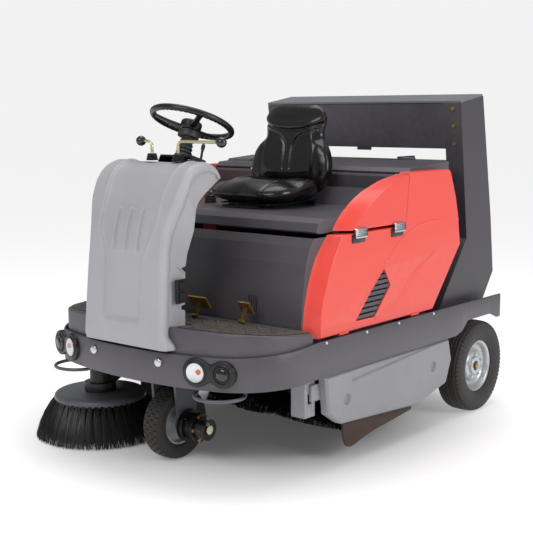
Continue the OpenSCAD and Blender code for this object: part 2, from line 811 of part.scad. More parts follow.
module portal_bolts() {
    color("#b08d4a") both_sides() for (z = [portal_z - 25, portal_z - 104, portal_z - 186])
        translate([portal_x - 42, portal_y + (portal_z - z) * 76 / (portal_z - 826) - 7.5, z])
            rotate([-90, 0, 0]) cylinder(r = 9, h = 6);
}

hopper_outline = [[portal_y - 130, 340], [portal_y + 280, 275], [portal_y + 315, 330],
    [portal_y + 315, 644], [portal_y + 285, 900], [portal_y + 262, 1180], [portal_y + 76, 1180],
    [portal_y + 40, 830], [portal_y - 130, 530]];
lug_x = column_x - 18;

module hopper() {
    wall = 4;
    inner = [[portal_y - 131, 346], [portal_y + 277, 281], [portal_y + 309, 333],
        [portal_y + 309, 644], [portal_y + 279, 899], [portal_y + 256, 1174], [portal_y + 82, 1174],
        [portal_y + 46, 828], [portal_y - 131, 523]];
    color("#55575c") {
        difference() {
            side_plate(hopper_outline, -hopper_x, hopper_x);
            side_plate(inner, -hopper_x + wall, hopper_x - wall);
            box([-150, portal_y + 120, 1170], [150, portal_y + 200, 1190]);
        }
        both_sides() {
            x_bar(hopper_pivot, hopper_pin_d / 2, hopper_x, column_x + sheet_t);
            x_bar(hopper_pivot, 45, hopper_x, hopper_x + 8);
            // lug of the lift cylinder
            side_plate([[portal_y + 140, 890], [portal_y + 200, 890], [portal_y + 190, 960],
                [portal_y + 150, 960]], hopper_x, hopper_x + 8);
        }
        // stiffening ribs on the rear wall
        for (x = [-260, 0, 260])
            side_plate([[portal_y + 315, 400], [portal_y + 321, 410], [portal_y + 321, 630],
                [portal_y + 315, 640]], x - 20, x + 20);
    }
}

lift_base = [portal_y - 70, 560];
lift_eye = [portal_y + 170, 920];
lift_a = atan2(lift_eye[1] - lift_base[1], lift_eye[0] - lift_base[0]);
lift_x = (hopper_x + 8 + column_x) / 2;
lift_pin_d = 16;

// Frame whose +Z runs along the lift cylinder from its foot.
module on_lift() {
    translate([lift_x, lift_base[0], lift_base[1]]) rotate([lift_a - 90, 0, 0]) children();
}

module lift_cylinders() {
    color("#1c1c1e") both_sides() on_lift() difference() {
        union() {
            translate([0, 0, 24]) cylinder(r = 16, h = 278);
            translate([-6, -10, 0]) cube([12, 20, 26]);
            rotate([0, 90, 0]) cylinder(r = 18, h = 12, center = true);
        }
        rotate([0, 90, 0]) cylinder(r = lift_pin_d / 2 + fit, h = 13, center = true);
        translate([0, 0, 26]) cylinder(r = 9 + fit, h = 280);
    }
}

module lift_rods() {
    length = norm(lift_eye - lift_base);
    color("#d0d0d4") both_sides() on_lift() {
        translate([0, 0, 32]) cylinder(r = 9, h = length - 48);
        translate([0, 0, length]) rotate([0, 90, 0]) difference() {
            cylinder(r = 17, h = 12, center = true);
            cylinder(r = 8, h = 13, center = true);
        }
    }
}

// ---- wheels and axles ------------------------------------------------------

axle_r = 30;
spindle_r = 20;

module rear_axle() {
    color("#2c2c30") {
        x_bar([rear_axle_y, rear_hub_z], axle_r, -rail_x - rail_w, rail_x + rail_w);
        both_sides() {
            x_bar([rear_axle_y, rear_hub_z], spindle_r, rail_x + rail_w, hw - 5 - rear_tyre_w / 2 + 32.6);
            box([rail_x, rear_axle_y - 50, rear_hub_z + 20],
                [rail_x + rail_w, rear_axle_y + 50, rear_hub_z + 30]);
        }
    }
}

// Half section of a tyre: radius outwards, width along the axle.
module tyre(d, w, rim_d) {
    r = d / 2;
    ri = rim_d / 2;
    rotate([0, 90, 0]) rotate_extrude()
        polygon(concat([[ri, -w * 0.36], [ri, w * 0.36]],
            bezier([ri + 4, w * 0.42], [ri + (r - ri) * 0.5, w * 0.56], [r - 12, w * 0.45], 4),
            [[r - 3, w * 0.34], [r, w * 0.2], [r, -w * 0.2], [r - 3, -w * 0.34]],
            bezier([r - 12, -w * 0.45], [ri + (r - ri) * 0.5, -w * 0.56], [ri + 4, -w * 0.42], 4)));
}

module rear_tyre() {
    translate([hw - 5 - rear_tyre_w / 2, rear_axle_y, rear_hub_z])
        tyre(rear_wheel_d, rear_tyre_w, rear_rim_d - 6);
}

module rear_tyre_left() { color("#26221f") rear_tyre(); }
module rear_tyre_right() { color("#26221f") mirror([1, 0, 0]) rear_tyre(); }

module rear_rim() {
    rim_r = rear_rim_d / 2 - 3;
    well = rear_tyre_w * 0.36;
    translate([hw - 5 - rear_tyre_w / 2, rear_axle_y, rear_hub_z]) rotate([0, 90, 0]) {
        rotate_extrude() polygon([[rim_r, -well], [rim_r - 6, -well], [rim_r - 6, 6], [60, 12],
            [44, 12], [44, -well], [spindle_r + fit, -well], [spindle_r + fit, 34], [44, 34],
            [44, 22], [66, 22], [rim_r - 12, 14], [rim_r - 12, well], [rim_r, well]]);
        translate([0, 0, 33]) cylinder(r = 21, h = 8);
        for (a = [0:72:288]) rotate([0, 0, a]) translate([55, 0, 20]) cylinder(r = 8, h = 11, $fn = 6);
    }
}

module rear_rim_left() { color("#b9bbbf") rear_rim(); }
module rear_rim_right() { color("#b9bbbf") mirror([1, 0, 0]) rear_rim(); }

front_hub_z = front_wheel_d / 2;
fork_gap = front_tyre_w / 2 + 14;

module steering_fork() {
    color("#3a3a3e") {
        // king pin, crown and the two fork plates
        translate([0, front_axle_y, plate_z - 44 + eps]) cylinder(d = king_pin_d, h = 44 + plate_t);
        translate([0, front_axle_y, plate_z - 62]) cylinder(d = 150, h = 21.7);
        box([-fork_gap - 12, front_axle_y - 78, plate_z - 76],
            [fork_gap + 12, front_axle_y + 78, plate_z - 60]);
        for (x = [fork_gap, -fork_gap - 12]) difference() {
            side_plate([[front_axle_y - 78, plate_z - 62], [front_axle_y + 78, plate_z - 62],
                [front_axle_y + 46, front_hub_z - 20], [front_axle_y + 20, front_hub_z - 46],
                [front_axle_y - 20, front_hub_z - 46], [front_axle_y - 46, front_hub_z - 20]],
                x, x + 12);
            x_bar([front_axle_y, front_hub_z], spindle_r + fit, x - 1, x + 13);
        }
        // sprocket of the steering chain, on the king pin
        translate([0, front_axle_y, deck_plate_z + eps]) cylinder(r = 62, h = 10);
    }
}

module front_tyre() {
    color("#26221f") translate([0, front_axle_y, front_hub_z])
        tyre(front_wheel_d, front_tyre_w, 176);
}

module front_rim() {
    well = front_tyre_w * 0.36;
    color("#2c2c30") {
        translate([0, front_axle_y, front_hub_z]) rotate([0, 90, 0])
            rotate_extrude() polygon([[88, -well], [82, -well], [82, -8], [40, -8], [40, -well - 6],
                [0, -well - 6], [0, well + 6], [40, well + 6], [40, 8], [82, 8], [82, well], [88, well]]);
        x_bar([front_axle_y, front_hub_z], spindle_r, -fork_gap - 12, fork_gap + 12);
    }
}

module drive_motor() {
    hub = [front_axle_y, front_hub_z];
    color("#151517") {
        x_bar(hub, 66, fork_gap + 12.4, fork_gap + 40);
        x_bar(hub, 52, fork_gap + 40, fork_gap + 78);
        x_bar(hub, 58, fork_gap + 78, fork_gap + 88);
        x_bar(hub, 44, fork_gap + 88, fork_gap + 132);
        // hose unions
        for (z = [14, 40]) translate([fork_gap + 104, front_axle_y - 12, front_hub_z + z])
            rotate([0, 70, -20]) cylinder(r = 7, h = 58);
    }
    color("#b8b8bc") for (a = [45:90:315])
        x_bar(hub + 56 * [cos(a), sin(a)], 7, fork_gap + 40, fork_gap + 50);
    color("#e0e0e2") x_bar(hub, 22, fork_gap + 132, fork_gap + 137);
}

// ---- seat ------------------------------------------------------------------

module seat_base() {
    color("#151517") {
        // lower pan and suspension box
        box([-150, seat_y - 140, deck_z], [150, seat_y + 150, deck_z + 6]);
        box([-130, seat_y - 120, deck_z + 6], [130, seat_y + 130, seat_rail_z - 6]);
        // lower rails of the slide
        for (x = [-140, 120])
            box([x, seat_y - 160, seat_rail_z - 6], [x + 20, seat_y - 160 + seat_rail_l, seat_rail_z]);
        box([-140, seat_y - 60, seat_rail_z - 10], [140, seat_y + 60, seat_rail_z - 6]);
    }
    color("#d0d0d4") {
        // release bar at the front and the adjuster knob at the side
        for (x = [-90, 78]) box([x, seat_y - 178, deck_z + 4], [x + 12, seat_y - 138, deck_z + 12]);
        box([-90, seat_y - 186, deck_z + 4], [90, seat_y - 178, deck_z + 12]);
        x_bar([seat_y + 110, deck_z + 12], 8, 130, 178);
    }
}

// The moulded cushion: a pan, a pad and two side bolsters, in one skin.
module seat_cushion() {
    color("#1a1617") {
        translate([0, 0, seat_rail_z + eps]) linear_extrude(70) polygon(concat(
            arc([seat_w / 2 - 70, seat_y - 125], 70, 0, -90, 4),
            arc([-seat_w / 2 + 70, seat_y - 125], 70, -90, -180, 4),
            [[-seat_w / 2 + 20, seat_back_y - 1.2], [seat_w / 2 - 20, seat_back_y - 1.2]]));
        for (s = [-1, 1]) translate([s * (seat_w / 2 - 44), seat_y + 40, seat_rail_z + 70])
            rotate([90, 0, 0]) cylinder(r = 30, h = 170, center = true);
    }
}

module seat_backrest() {
    foot = seat_back_y;
    color("#1a1617") {
        intersection() {
            side_plate(curve([[foot, 1050], [foot, 1110], [foot + 12, 1200], [foot + 34, 1330],
                [foot + 60, 1436], [foot + 84, 1458], [foot + 108, 1436], [foot + 98, 1300],
                [foot + 92, 1180], [foot + 62, 1090], [foot + 36, 1050]], 2), -seat_w / 2, seat_w / 2);
            translate([0, 2000, 0]) rotate([90, 0, 0]) linear_extrude(2000)
                polygon([[-160, 1050], [160, 1050], [226, 1120], [230, 1180], [214, 1250],
                    [180, 1320], [176, 1410], [140, 1460], [-140, 1460], [-176, 1410],
                    [-180, 1320], [-214, 1250], [-230, 1180], [-226, 1120]]);
        }
    }
}

brake_x = -300;
brake_y = 830;
brake_h = 46;

module brake_lever() {
    color("#d8cfae") translate([brake_x, brake_y, deck_z + brake_h]) {
        rotate([0, 90, 0]) cylinder(r = 8, h = 20, center = true);
        rotate([62, 0, 0]) cylinder(r = 7, h = 150);
        rotate([62, 0, 0]) translate([0, 0, 150]) sphere(r = 12);
    }
}

// ---- brooms and skirts -----------------------------------------------------

skirt_side = [[473, 398], [1400, 398], [1426, 300],
    [1381, 194], [1145, 146], [580, 186], [493, 242]];

module side_skirts() {
    color("#8f9093") both_sides() difference() {
        side_plate(skirt_side, hw - 46, hw - 6);
        side_plate([[490, 380], [1385, 380], [1405, 300], [1370, 210],
            [1145, 162], [590, 202], [508, 250]], hw - 47, hw - 18);
        // round dimples
        for (c = [[613, 281], [1265, 294]]) x_bar(c, 21, hw - 12, hw);
    }
    color("#4b474e") both_sides() {
        // front bracket with its square hole, and the rear hanger
        difference() {
            box([hw - 130, 405, 236], [hw - 60, 470, plate_z]);
            box([hw - 131, 425, 290], [hw - 59, 450, 330]);
            box([hw - 122, 404, 235], [hw - 68, 471, 274]);
        }
        box([hw - 60, 430, 300], [hw - 46, 520, 366]);
        for (y = [700, 1200]) box([hw - 46, y, 370], [hw - 20, y + 60, plate_z]);
    }
    // rubber flap below each skirt
    color("#3a2a22") both_sides()
        side_plate([[640, 182], [1150, 150], [1150, 96], [1120, 40], [700, 40], [650, 96]],
            hw - 58, hw - 46.5);
}

broom_y = 1010;
broom_c = [broom_y, main_broom_d / 2 + 2];
arm_pivot = [700 - 30, 395];

module broom_arms() {
    color("#2c2c30") both_sides() {
        difference() {
            union() {
                side_plate([[arm_pivot[0] - 14, arm_pivot[1] - 18], [arm_pivot[0] + 6, arm_pivot[1] + 18],
                    [broom_y + 34, broom_c[1] + 36], [broom_y + 34, broom_c[1] - 34],
                    [broom_y - 34, broom_c[1] - 34]], main_broom_l / 2 + 8, main_broom_l / 2 + 20);
                x_bar(arm_pivot, 20, main_broom_l / 2 + 8, main_broom_l / 2 + 20);
            }
            x_bar(arm_pivot, 12 + fit, main_broom_l / 2 + 7, main_broom_l / 2 + 21);
            x_bar(broom_c, main_shaft_d / 2 + fit, main_broom_l / 2 + 7, main_broom_l / 2 + 21);
        }
    }
    color("#2c2c30") difference() {
        x_bar(arm_pivot, 17, -main_broom_l / 2 - 8, main_broom_l / 2 + 8);
        x_bar(arm_pivot, 12 + fit, -main_broom_l / 2 - 9, main_broom_l / 2 + 9);
    }
}

module main_broom() {
    color("#1b1917") {
        difference() {
            x_bar(broom_c, main_broom_d / 2, -main_broom_l / 2, main_broom_l / 2);
            x_bar(broom_c, main_shaft_d / 2, -main_broom_l / 2 - 1, main_broom_l / 2 + 1);
        }
    }
    color("#9a9a9e") x_bar(broom_c, main_shaft_d / 2, -main_broom_l / 2 - 22, main_broom_l / 2 + 22);
}

side_c = [-505, 315];
motor_r = 45;

arm_y = 630;                     // pivot of the side broom's arm
arm_z = 345;
arm_pin_d = 24;

module side_broom_arm() {
    motor_z = side_disc_z + 26;
    color("#26262a") {
        // motor over the disc, with its gear housing
        translate([side_c[0], side_c[1], motor_z]) cylinder(r = 70, h = 34);
        translate([side_c[0], side_c[1], motor_z + 34]) cylinder(r = motor_r, h = 74);
        // arm back to its pivot sleeve below the frame rail
        difference() {
            union() {
                side_plate([[side_c[1], motor_z + 4], [side_c[1], motor_z + 34], [arm_y - 20, arm_z + 25],
                    [arm_y, arm_z + 20], [arm_y, arm_z - 20], [arm_y - 20, arm_z - 23]],
                    side_c[0] + 6, side_c[0] + 40);
                x_bar([arm_y, arm_z], 26, side_c[0], side_c[0] + 46);
            }
            x_bar([arm_y, arm_z], arm_pin_d / 2 + fit, side_c[0] - 1, side_c[0] + 47);
        }
    }
}

module side_broom() {
    r = side_disc_d / 2;
    color("#55575c") translate([side_c[0], side_c[1], side_disc_z])
        rotate_extrude() polygon([[0, 12], [0, 26 - eps], [60, 26 - eps], [r - 30, 20], [r, 12], [r, -4],
            [r - 8, -4], [r - 8, 6], [60, 12]]);
    color("#151312") translate([side_c[0], side_c[1], 0])
        rotate_extrude() polygon([[r - 78, side_disc_z + 5], [r - 9, side_disc_z + 5],
            [r - 9, side_disc_z - 6], [side_broom_d / 2 - 26, 62], [side_broom_d / 2, 4],
            [r - 20, 4], [r - 60, 80]]);
}

// Engine, pump, battery and tanks stand side by side on the chassis plate. The
// pivot pins of both broom arms and their hangers belong to the same group.
module power_pack() {
    floor_z = deck_plate_z + eps;
    engine_z = 860;
    hanger_x = main_broom_l / 2 + 21;
    color("#7a3a2a") box([-210, 1180, floor_z], [190, 1420, engine_z]);
    color("#55575c") {
        // cylinder heads, air cleaner and hydraulic pump
        box([-90, 1200, engine_z + eps], [150, 1410, 960]);
        x_bar([1310, 960 + 60 + eps], 60, -190, 160);
        x_bar([1310, 640], 70, 190 + eps, 300);
    }
    color("#1c1c1e") {
        // battery with its terminals, fuel tank and oil tank below the seat deck
        box([-480, 520, floor_z], [-180, 720, 730]);
        box([-120, 620, floor_z], [200, 1000, engine_z]);
        box([260, 520, floor_z], [500, 1000, 800]);
        for (x = [-440, -230]) translate([x, 620, 730 + eps]) cylinder(r = 11, h = 16);
    }
    color("#2c2c30") {
        // pivot tube of the main broom's arms, between its hangers
        x_bar(arm_pivot, 12, eps - hanger_x, hanger_x - eps);
        for (x = [hanger_x, -hanger_x - 12])
            box([x, arm_pivot[0] - 20, arm_pivot[1] - 20],
                [x + 12, arm_pivot[0] + 20, plate_z - rail_h - eps]);
        // pivot pin of the side broom's arm, between its hangers
        x_bar([arm_y, arm_z], arm_pin_d / 2, side_c[0] - 1, side_c[0] + 46.7);
        box([side_c[0] + 47, arm_y - 18, 320], [side_c[0] + 59, arm_y + 18, plate_z - rail_h - eps]);
        box([side_c[0] - 13.3, arm_y - 18, 320], [side_c[0] - 1.3, arm_y + 18, plate_z - eps]);
    }
}

placed() chassis_frame();
placed() bumper_band();
placed() platform_tub();
placed() tread_mat();
placed() front_cowl();
placed() column_shroud();
placed() switch_plate();
placed() rocker_upper();
placed() rocker_lower();
placed() lamp_housings();
placed() lamp_lenses();
placed() lamp_guards();
placed() band_screws();
placed() seat_box();
placed() seat_deck();
placed() upper_side_panels();
placed() engine_hood();
placed() side_door_left();
placed() side_door_right();
placed() door_grille_left();
placed() door_grille_right();
placed() latch_left_front();
placed() latch_left_rear();
placed() latch_right_front();
placed() latch_right_rear();
placed() portal_frame();
placed() filter_box();
placed() filter_lid();
placed() panel_filter();
placed() portal_bolts();
placed() hopper();
placed() lift_cylinders();
placed() lift_rods();
placed() rear_axle();
placed() rear_tyre_left();
placed() rear_tyre_right();
placed() rear_rim_left();
placed() rear_rim_right();
placed() steering_fork();
placed() front_tyre();
placed() front_rim();
placed() drive_motor();
placed() steering_column();
placed() steering_wheel();
placed() column_stalk();
placed() lever_left();
placed() lever_right();
placed() lever_boots();
placed() brake_lever();
placed() seat_base();
placed() seat_cushion();
placed() seat_backrest();
placed() accelerator_pedal();
placed() brake_pedal();
placed() side_skirts();
placed() broom_arms();
placed() main_broom();
placed() side_broom_arm();
placed() side_broom();
placed() power_pack();
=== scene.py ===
"""Looks of the ride-on sweeper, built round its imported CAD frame.

Shapes are worked out in millimetres in the machine's own axes: X from the
centreline to the driver's left, Y from the foremost point of the bumper to
the rear, Z up from the ground. A Datum takes them into the row frame.
"""

from __future__ import annotations

import json
import logging
import math
from dataclasses import dataclass, field
from enum import Enum
from typing import Any, Callable, Sequence

import bmesh
import bpy
import numpy as np
from mathutils import Matrix, Vector
from mathutils.geometry import tessellate_polygon

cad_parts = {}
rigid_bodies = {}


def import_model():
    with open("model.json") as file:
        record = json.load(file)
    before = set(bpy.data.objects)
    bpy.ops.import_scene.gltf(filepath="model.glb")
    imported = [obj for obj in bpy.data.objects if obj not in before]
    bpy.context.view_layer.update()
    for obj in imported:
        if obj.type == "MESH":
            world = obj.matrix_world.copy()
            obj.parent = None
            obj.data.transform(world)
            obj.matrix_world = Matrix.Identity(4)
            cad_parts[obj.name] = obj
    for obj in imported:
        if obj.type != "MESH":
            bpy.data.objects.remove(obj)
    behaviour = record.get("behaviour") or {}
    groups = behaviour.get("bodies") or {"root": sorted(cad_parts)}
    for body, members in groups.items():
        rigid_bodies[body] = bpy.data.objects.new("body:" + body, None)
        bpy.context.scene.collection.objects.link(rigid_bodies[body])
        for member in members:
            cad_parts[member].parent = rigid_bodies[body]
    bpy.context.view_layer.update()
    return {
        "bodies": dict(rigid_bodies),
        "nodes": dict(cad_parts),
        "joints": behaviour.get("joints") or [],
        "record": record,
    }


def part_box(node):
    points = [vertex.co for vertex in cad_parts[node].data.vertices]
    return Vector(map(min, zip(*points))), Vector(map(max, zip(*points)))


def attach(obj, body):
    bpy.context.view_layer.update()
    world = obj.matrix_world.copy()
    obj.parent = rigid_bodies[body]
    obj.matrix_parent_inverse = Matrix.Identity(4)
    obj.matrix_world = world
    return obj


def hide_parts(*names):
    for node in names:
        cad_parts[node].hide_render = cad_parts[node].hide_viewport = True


LOG = logging.getLogger("sweeper")
MM = 0.001
TAU = 2.0 * math.pi
MIRROR = np.array([-1.0, 1.0, 1.0])

# Places and measures that more than one part of the machine shares, in millimetres.
BOW_RADIUS = 1539.0
BAND_REAR_Y = 1862.0
PLATFORM_PLAN_Y = 604.0
PLATFORM_REAR_Y = 404.0
REAR_HUB = (576.0, 1687.0, 217.0)
FRONT_HUB = (0.0, 276.0, 150.0)
LATCHES = (("front", 708.0), ("rear", 987.0))
LEVER_Y = 232.0
LEVER_Z = 1264.0
# Each lever's name, its place across the machine and how far its rod reaches.
LEVERS = (("lever_left", 86.0, 230.0), ("lever_right", -60.0, -62.0))

Array = np.ndarray
Node = bpy.types.ShaderNode
Object = bpy.types.Object
Material = bpy.types.Material


# ---- curves and arrays -----------------------------------------------------


def smooth(edge0: float, edge1: float, value: Array | float) -> Array:
    """Smooth step: 0 below edge0, 1 above edge1, with 3t^2 - 2t^3 between.

    Args:
        edge0: Where the step begins.
        edge1: Where the step ends; it may lie below edge0.
        value: The values to weigh.

    Returns:
        The weights, from 0 to 1.
    """
    t = np.clip((np.asarray(value, float) - edge0) / (edge1 - edge0), 0.0, 1.0)
    return t * t * (3.0 - 2.0 * t)


def pulse(low: float, high: float, soft: float, value: Array) -> Array:
    """1 between low and high, falling smoothly to 0 over soft outside them."""
    return smooth(low - soft, low, value) * smooth(high + soft, high, value)


def spline(points: Sequence[Sequence[float]], count: int, closed: bool = False) -> Array:
    """Catmull-Rom curve through points, resampled at even steps of length.

    Each span is the usual cubic through its two ends, with tangents half the
    way between the neighbours.

    Args:
        points: The points to pass, in two or three dimensions.
        count: How many points to return.
        closed: Whether the curve returns to its start.

    Returns:
        An array of count points.
    """
    p = np.asarray(points, float)
    if closed:
        ring = np.concatenate([p[-1:], p, p[:2]])
    else:
        ring = np.concatenate([2 * p[:1] - p[1:2], p, 2 * p[-1:] - p[-2:-1]])
    t = np.linspace(0.0, 1.0, 16, endpoint=False)[None, :, None]
    a, b, c, d = (ring[i:len(ring) - 3 + i, None, :] for i in range(4))
    fine = 0.5 * (2 * b + (c - a) * t + (2 * a - 5 * b + 4 * c - d) * t**2
                  + (3 * b - a - 3 * c + d) * t**3)
    return resample(np.concatenate([fine.reshape(-1, p.shape[1]), ring[-2:-1]]), count)


def resample(line: Array, count: int) -> Array:
    """The line with count points, evenly spaced along its length."""
    line = np.asarray(line, float)
    run = np.concatenate([[0.0], np.cumsum(np.linalg.norm(np.diff(line, axis=0), axis=1))])
    at = np.linspace(0.0, run[-1], count)
    return np.stack([np.interp(at, run, line[:, k]) for k in range(line.shape[1])], axis=1)


def rounded(points: Sequence[Sequence[float]], radius: float, steps: int = 5) -> Array:
    """A closed polygon whose corners are quadratic curves of about radius."""
    p = np.asarray(points, float)
    before, after = np.roll(p, 1, axis=0) - p, np.roll(p, -1, axis=0) - p
    long_b, long_a = (np.linalg.norm(v, axis=1, keepdims=True) for v in (before, after))
    start = p + before / long_b * np.minimum(radius, long_b * 0.45)
    end = p + after / long_a * np.minimum(radius, long_a * 0.45)
    t = np.linspace(0.0, 1.0, steps)[None, :, None]
    curve = (1 - t)**2 * start[:, None] + 2 * t * (1 - t) * p[:, None] + t**2 * end[:, None]
    return curve.reshape(-1, p.shape[1])


def arc(centre: Sequence[float], radius: float, start: float, end: float, count: int) -> Array:
    """Points on a circle between two angles in degrees."""
    a = np.radians(np.linspace(start, end, count))
    return np.asarray(centre, float) + radius * np.stack([np.cos(a), np.sin(a)], axis=1)


def sideways(line: Array) -> Array:
    """Unit vectors to the right of a plan line's direction."""
    d = np.gradient(line, axis=0)
    d /= np.linalg.norm(d, axis=1, keepdims=True)
    return np.stack([d[:, 1], -d[:, 0]], axis=1)


def frames(line: Array) -> tuple[Array, Array]:
    """Two unit vectors across each point of a space curve, turned as little as can be."""
    d = np.gradient(line, axis=0)
    d /= np.linalg.norm(d, axis=1, keepdims=True)
    side = np.zeros_like(d)
    side[0] = np.cross(d[0], [0.0, 0.0, 1.0] if abs(d[0][2]) < 0.9 else [1.0, 0.0, 0.0])
    for i in range(1, len(d)):
        side[i] = side[i - 1] - d[i] * np.dot(side[i - 1], d[i])
    side /= np.linalg.norm(side, axis=1, keepdims=True)
    return side, np.cross(d, side)


# ---- meshes ------------------------------------------------------------------


@dataclass(frozen=True)
class Datum:
    """Where the machine's own axes lie in the row frame, in metres."""

    x: float
    y: float

    @classmethod
    def of_frame(cls) -> "Datum":
        """The datum: the bumper band's middle and its foremost point."""
        low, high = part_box("bumper_band")
        return cls(round((low[0] + high[0]) / 2, 4), round(low[1], 4))

    def place(self, points: Array) -> Array:
        """Machine millimetres to row-frame metres."""
        return np.asarray(points, float) * MM + np.array([self.x, self.y, 0.0])


@dataclass
class Skin:
    """Surfaces gathered as arrays, then made one object."""

    datum: Datum
    points: list[Array] = field(default_factory=list)
    faces: list[list[int]] = field(default_factory=list)
    count: int = 0

    def add(self, points: Array, faces: Array | list[list[int]]) -> None:
        """Adds points and faces that index them."""
        points = np.asarray(points, float).reshape(-1, 3)
        self.faces += [[int(i) + self.count for i in f] for f in faces]
        self.points.append(points)
        self.count += len(points)

    def grid(self, p: Array, close_u: bool = False, close_v: bool = False) -> None:
        """Adds a surface given on a grid of two parameters.

        Args:
            p: Points in an array of rows, columns and three coordinates.
            close_u: Whether the last row joins the first.
            close_v: Whether the last column joins the first.
        """
        rows, columns = p.shape[:2]
        ids = np.arange(rows * columns).reshape(rows, columns)
        if close_u:
            ids = np.concatenate([ids, ids[:1]])
        if close_v:
            ids = np.concatenate([ids, ids[:, :1]], axis=1)
        quads = np.stack([ids[:-1, :-1], ids[1:, :-1], ids[1:, 1:], ids[:-1, 1:]], axis=-1)
        self.add(p, (quads.reshape(-1, 4)).tolist())

    def lids(self, p: Array) -> None:
        """Closes both ends of a grid whose columns run round in a ring."""
        n = p.shape[1]
        self.add(p[0], [list(range(n))])
        self.add(p[-1], [list(range(n))])

    def prism(self, outline: Array, lift: Callable[[Array, float], Array], heights: Sequence[float],
              insets: Sequence[float] | None = None) -> None:
        """A closed body: one outline carried along its third axis, with lids.

        Args:
            outline: The closed outline, in two dimensions.
            lift: Takes the outline and a height, and gives points in space.
            heights: Heights of the rings, from one lid to the other.
            insets: How far each ring is drawn in, for rounded edges.
        """
        insets = insets if insets is not None else [0.0] * len(heights)
        ring = np.asarray(outline, float)
        closed = np.concatenate([ring[-1:], ring, ring[:1]])
        side = sideways(closed)[1:-1]
        area = np.sum(ring[:, 0] * np.roll(ring[:, 1], -1) - ring[:, 1] * np.roll(ring[:, 0], -1))
        outward = side if area > 0 else -side
        p = np.stack([lift(ring - outward * i, h) for i, h in zip(insets, heights)])
        self.grid(p, close_v=True)
        self.lids(p)

    def lathe(self, profile: Array, centre: Sequence[float], axis: int, segments: int = 96,
              wave: Callable[[Array, Array], Array] | None = None) -> None:
        """A profile of distance along and radius, turned about an axis.

        Args:
            profile: Rows of distance along the axis and radius.
            centre: The point on the axis where the distance is 0.
            axis: 0, 1 or 2 for X, Y or Z.
            segments: Steps in a full turn.
            wave: Extra radius as a function of the angle and the profile's row.
        """
        profile = np.asarray(profile, float)
        a = np.linspace(0.0, TAU, segments, endpoint=False)[None, :]
        r = profile[:, 1:2] + np.zeros_like(a)
        if wave is not None:
            r = r + wave(a, np.arange(len(profile))[:, None])
        p = np.zeros((len(profile), segments, 3))
        p[..., axis] = profile[:, :1]
        p[..., (axis + 1) % 3] = r * np.cos(a)
        p[..., (axis + 2) % 3] = r * np.sin(a)
        self.grid(p + np.asarray(centre, float), close_v=True)

    def tube(self, line: Array, radius: float | Array, segments: int = 16) -> None:
        """A round bar along a space curve, with flat ends."""
        side, up = frames(line)
        a = np.linspace(0.0, TAU, segments, endpoint=False)
        r = np.broadcast_to(np.asarray(radius, float), (len(line),))[:, None, None]
        p = line[:, None] + r * (side[:, None] * np.cos(a)[None, :, None]
                                 + up[:, None] * np.sin(a)[None, :, None])
        self.grid(p, close_v=True)
        self.lids(p)

    def ball(self, centre: Sequence[float], radius: float, rings: int = 20) -> None:
        """A sphere, as a half circle turned about Z."""
        a = np.linspace(-math.pi / 2, math.pi / 2, rings)
        self.lathe(np.stack([radius * np.sin(a), radius * np.cos(a)], axis=1), centre, 2, 32)

    def block(self, low: Sequence[float], high: Sequence[float], soft: float = 1.0) -> None:
        """A block with rounded upright edges and eased top and bottom edges."""
        (x0, y0, z0), (x1, y1, z1) = low, high
        outline = rounded([[x0, y0], [x1, y0], [x1, y1], [x0, y1]], soft * 2, 4)
        self.prism(outline, upright, [z0, z0 + soft, z1 - soft, z1], [soft, 0.0, 0.0, soft])

    def mirrored(self) -> None:
        """Adds a copy of all there is, mirrored to the machine's other side."""
        p = np.concatenate(self.points) * MIRROR
        self.add(p, [f[::-1] for f in self.faces])

    def on_side(self, side: str) -> None:
        """Takes a piece drawn on the left to the right, if that is its side."""
        if side == "right":
            self.moved(lambda p: p * MIRROR)

    def moved(self, change: Callable[[Array], Array]) -> None:
        """Applies a change to all points there are."""
        self.points = [change(p) for p in self.points]

    def build(self, name: str, finish: Material, body: str, *stands_for: str,
              sharp: float = 32.0, bevel: float = 0.0) -> Object:
        """Makes the object, rides it on a body and stands it for CAD nodes.

        Args:
            name: The piece's name.
            finish: Its material.
            body: The CAD body it moves with.
            stands_for: CAD nodes that it replaces.
            sharp: Angle in degrees past which an edge stays sharp.
            bevel: Width of a rounded edge in millimetres, or 0 for none.

        Returns:
            The new object.
        """
        mesh = bpy.data.meshes.new(name)
        mesh.from_pydata(self.datum.place(np.concatenate(self.points)).tolist(), [], self.faces)
        bm = bmesh.new()
        bm.from_mesh(mesh)
        bmesh.ops.remove_doubles(bm, verts=bm.verts, dist=1.5e-5)
        bmesh.ops.dissolve_degenerate(bm, edges=bm.edges, dist=1e-6)
        bmesh.ops.recalc_face_normals(bm, faces=bm.faces)
        bm.to_mesh(mesh)
        bm.free()
        mesh.shade_smooth()
        mesh.set_sharp_from_angle(angle=math.radians(sharp))
        mesh.materials.append(finish)
        piece = bpy.data.objects.new(name, mesh)
        bpy.context.scene.collection.objects.link(piece)
        if bevel:
            round_edges(piece, bevel, sharp)
        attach(piece, body)
        if stands_for:
            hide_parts(*stands_for)
        LOG.info("%s rides on %s: %d faces", name, body, len(mesh.polygons))
        return piece


def upright(outline: Array, height: float) -> Array:
    """A plan outline in X and Y, at a height."""
    return np.column_stack([outline, np.full(len(outline), height)])


def sidelong(outline: Array, x: float) -> Array:
    """An outline in Y and Z, at a distance from the centreline."""
    return np.column_stack([np.full(len(outline), x), outline])


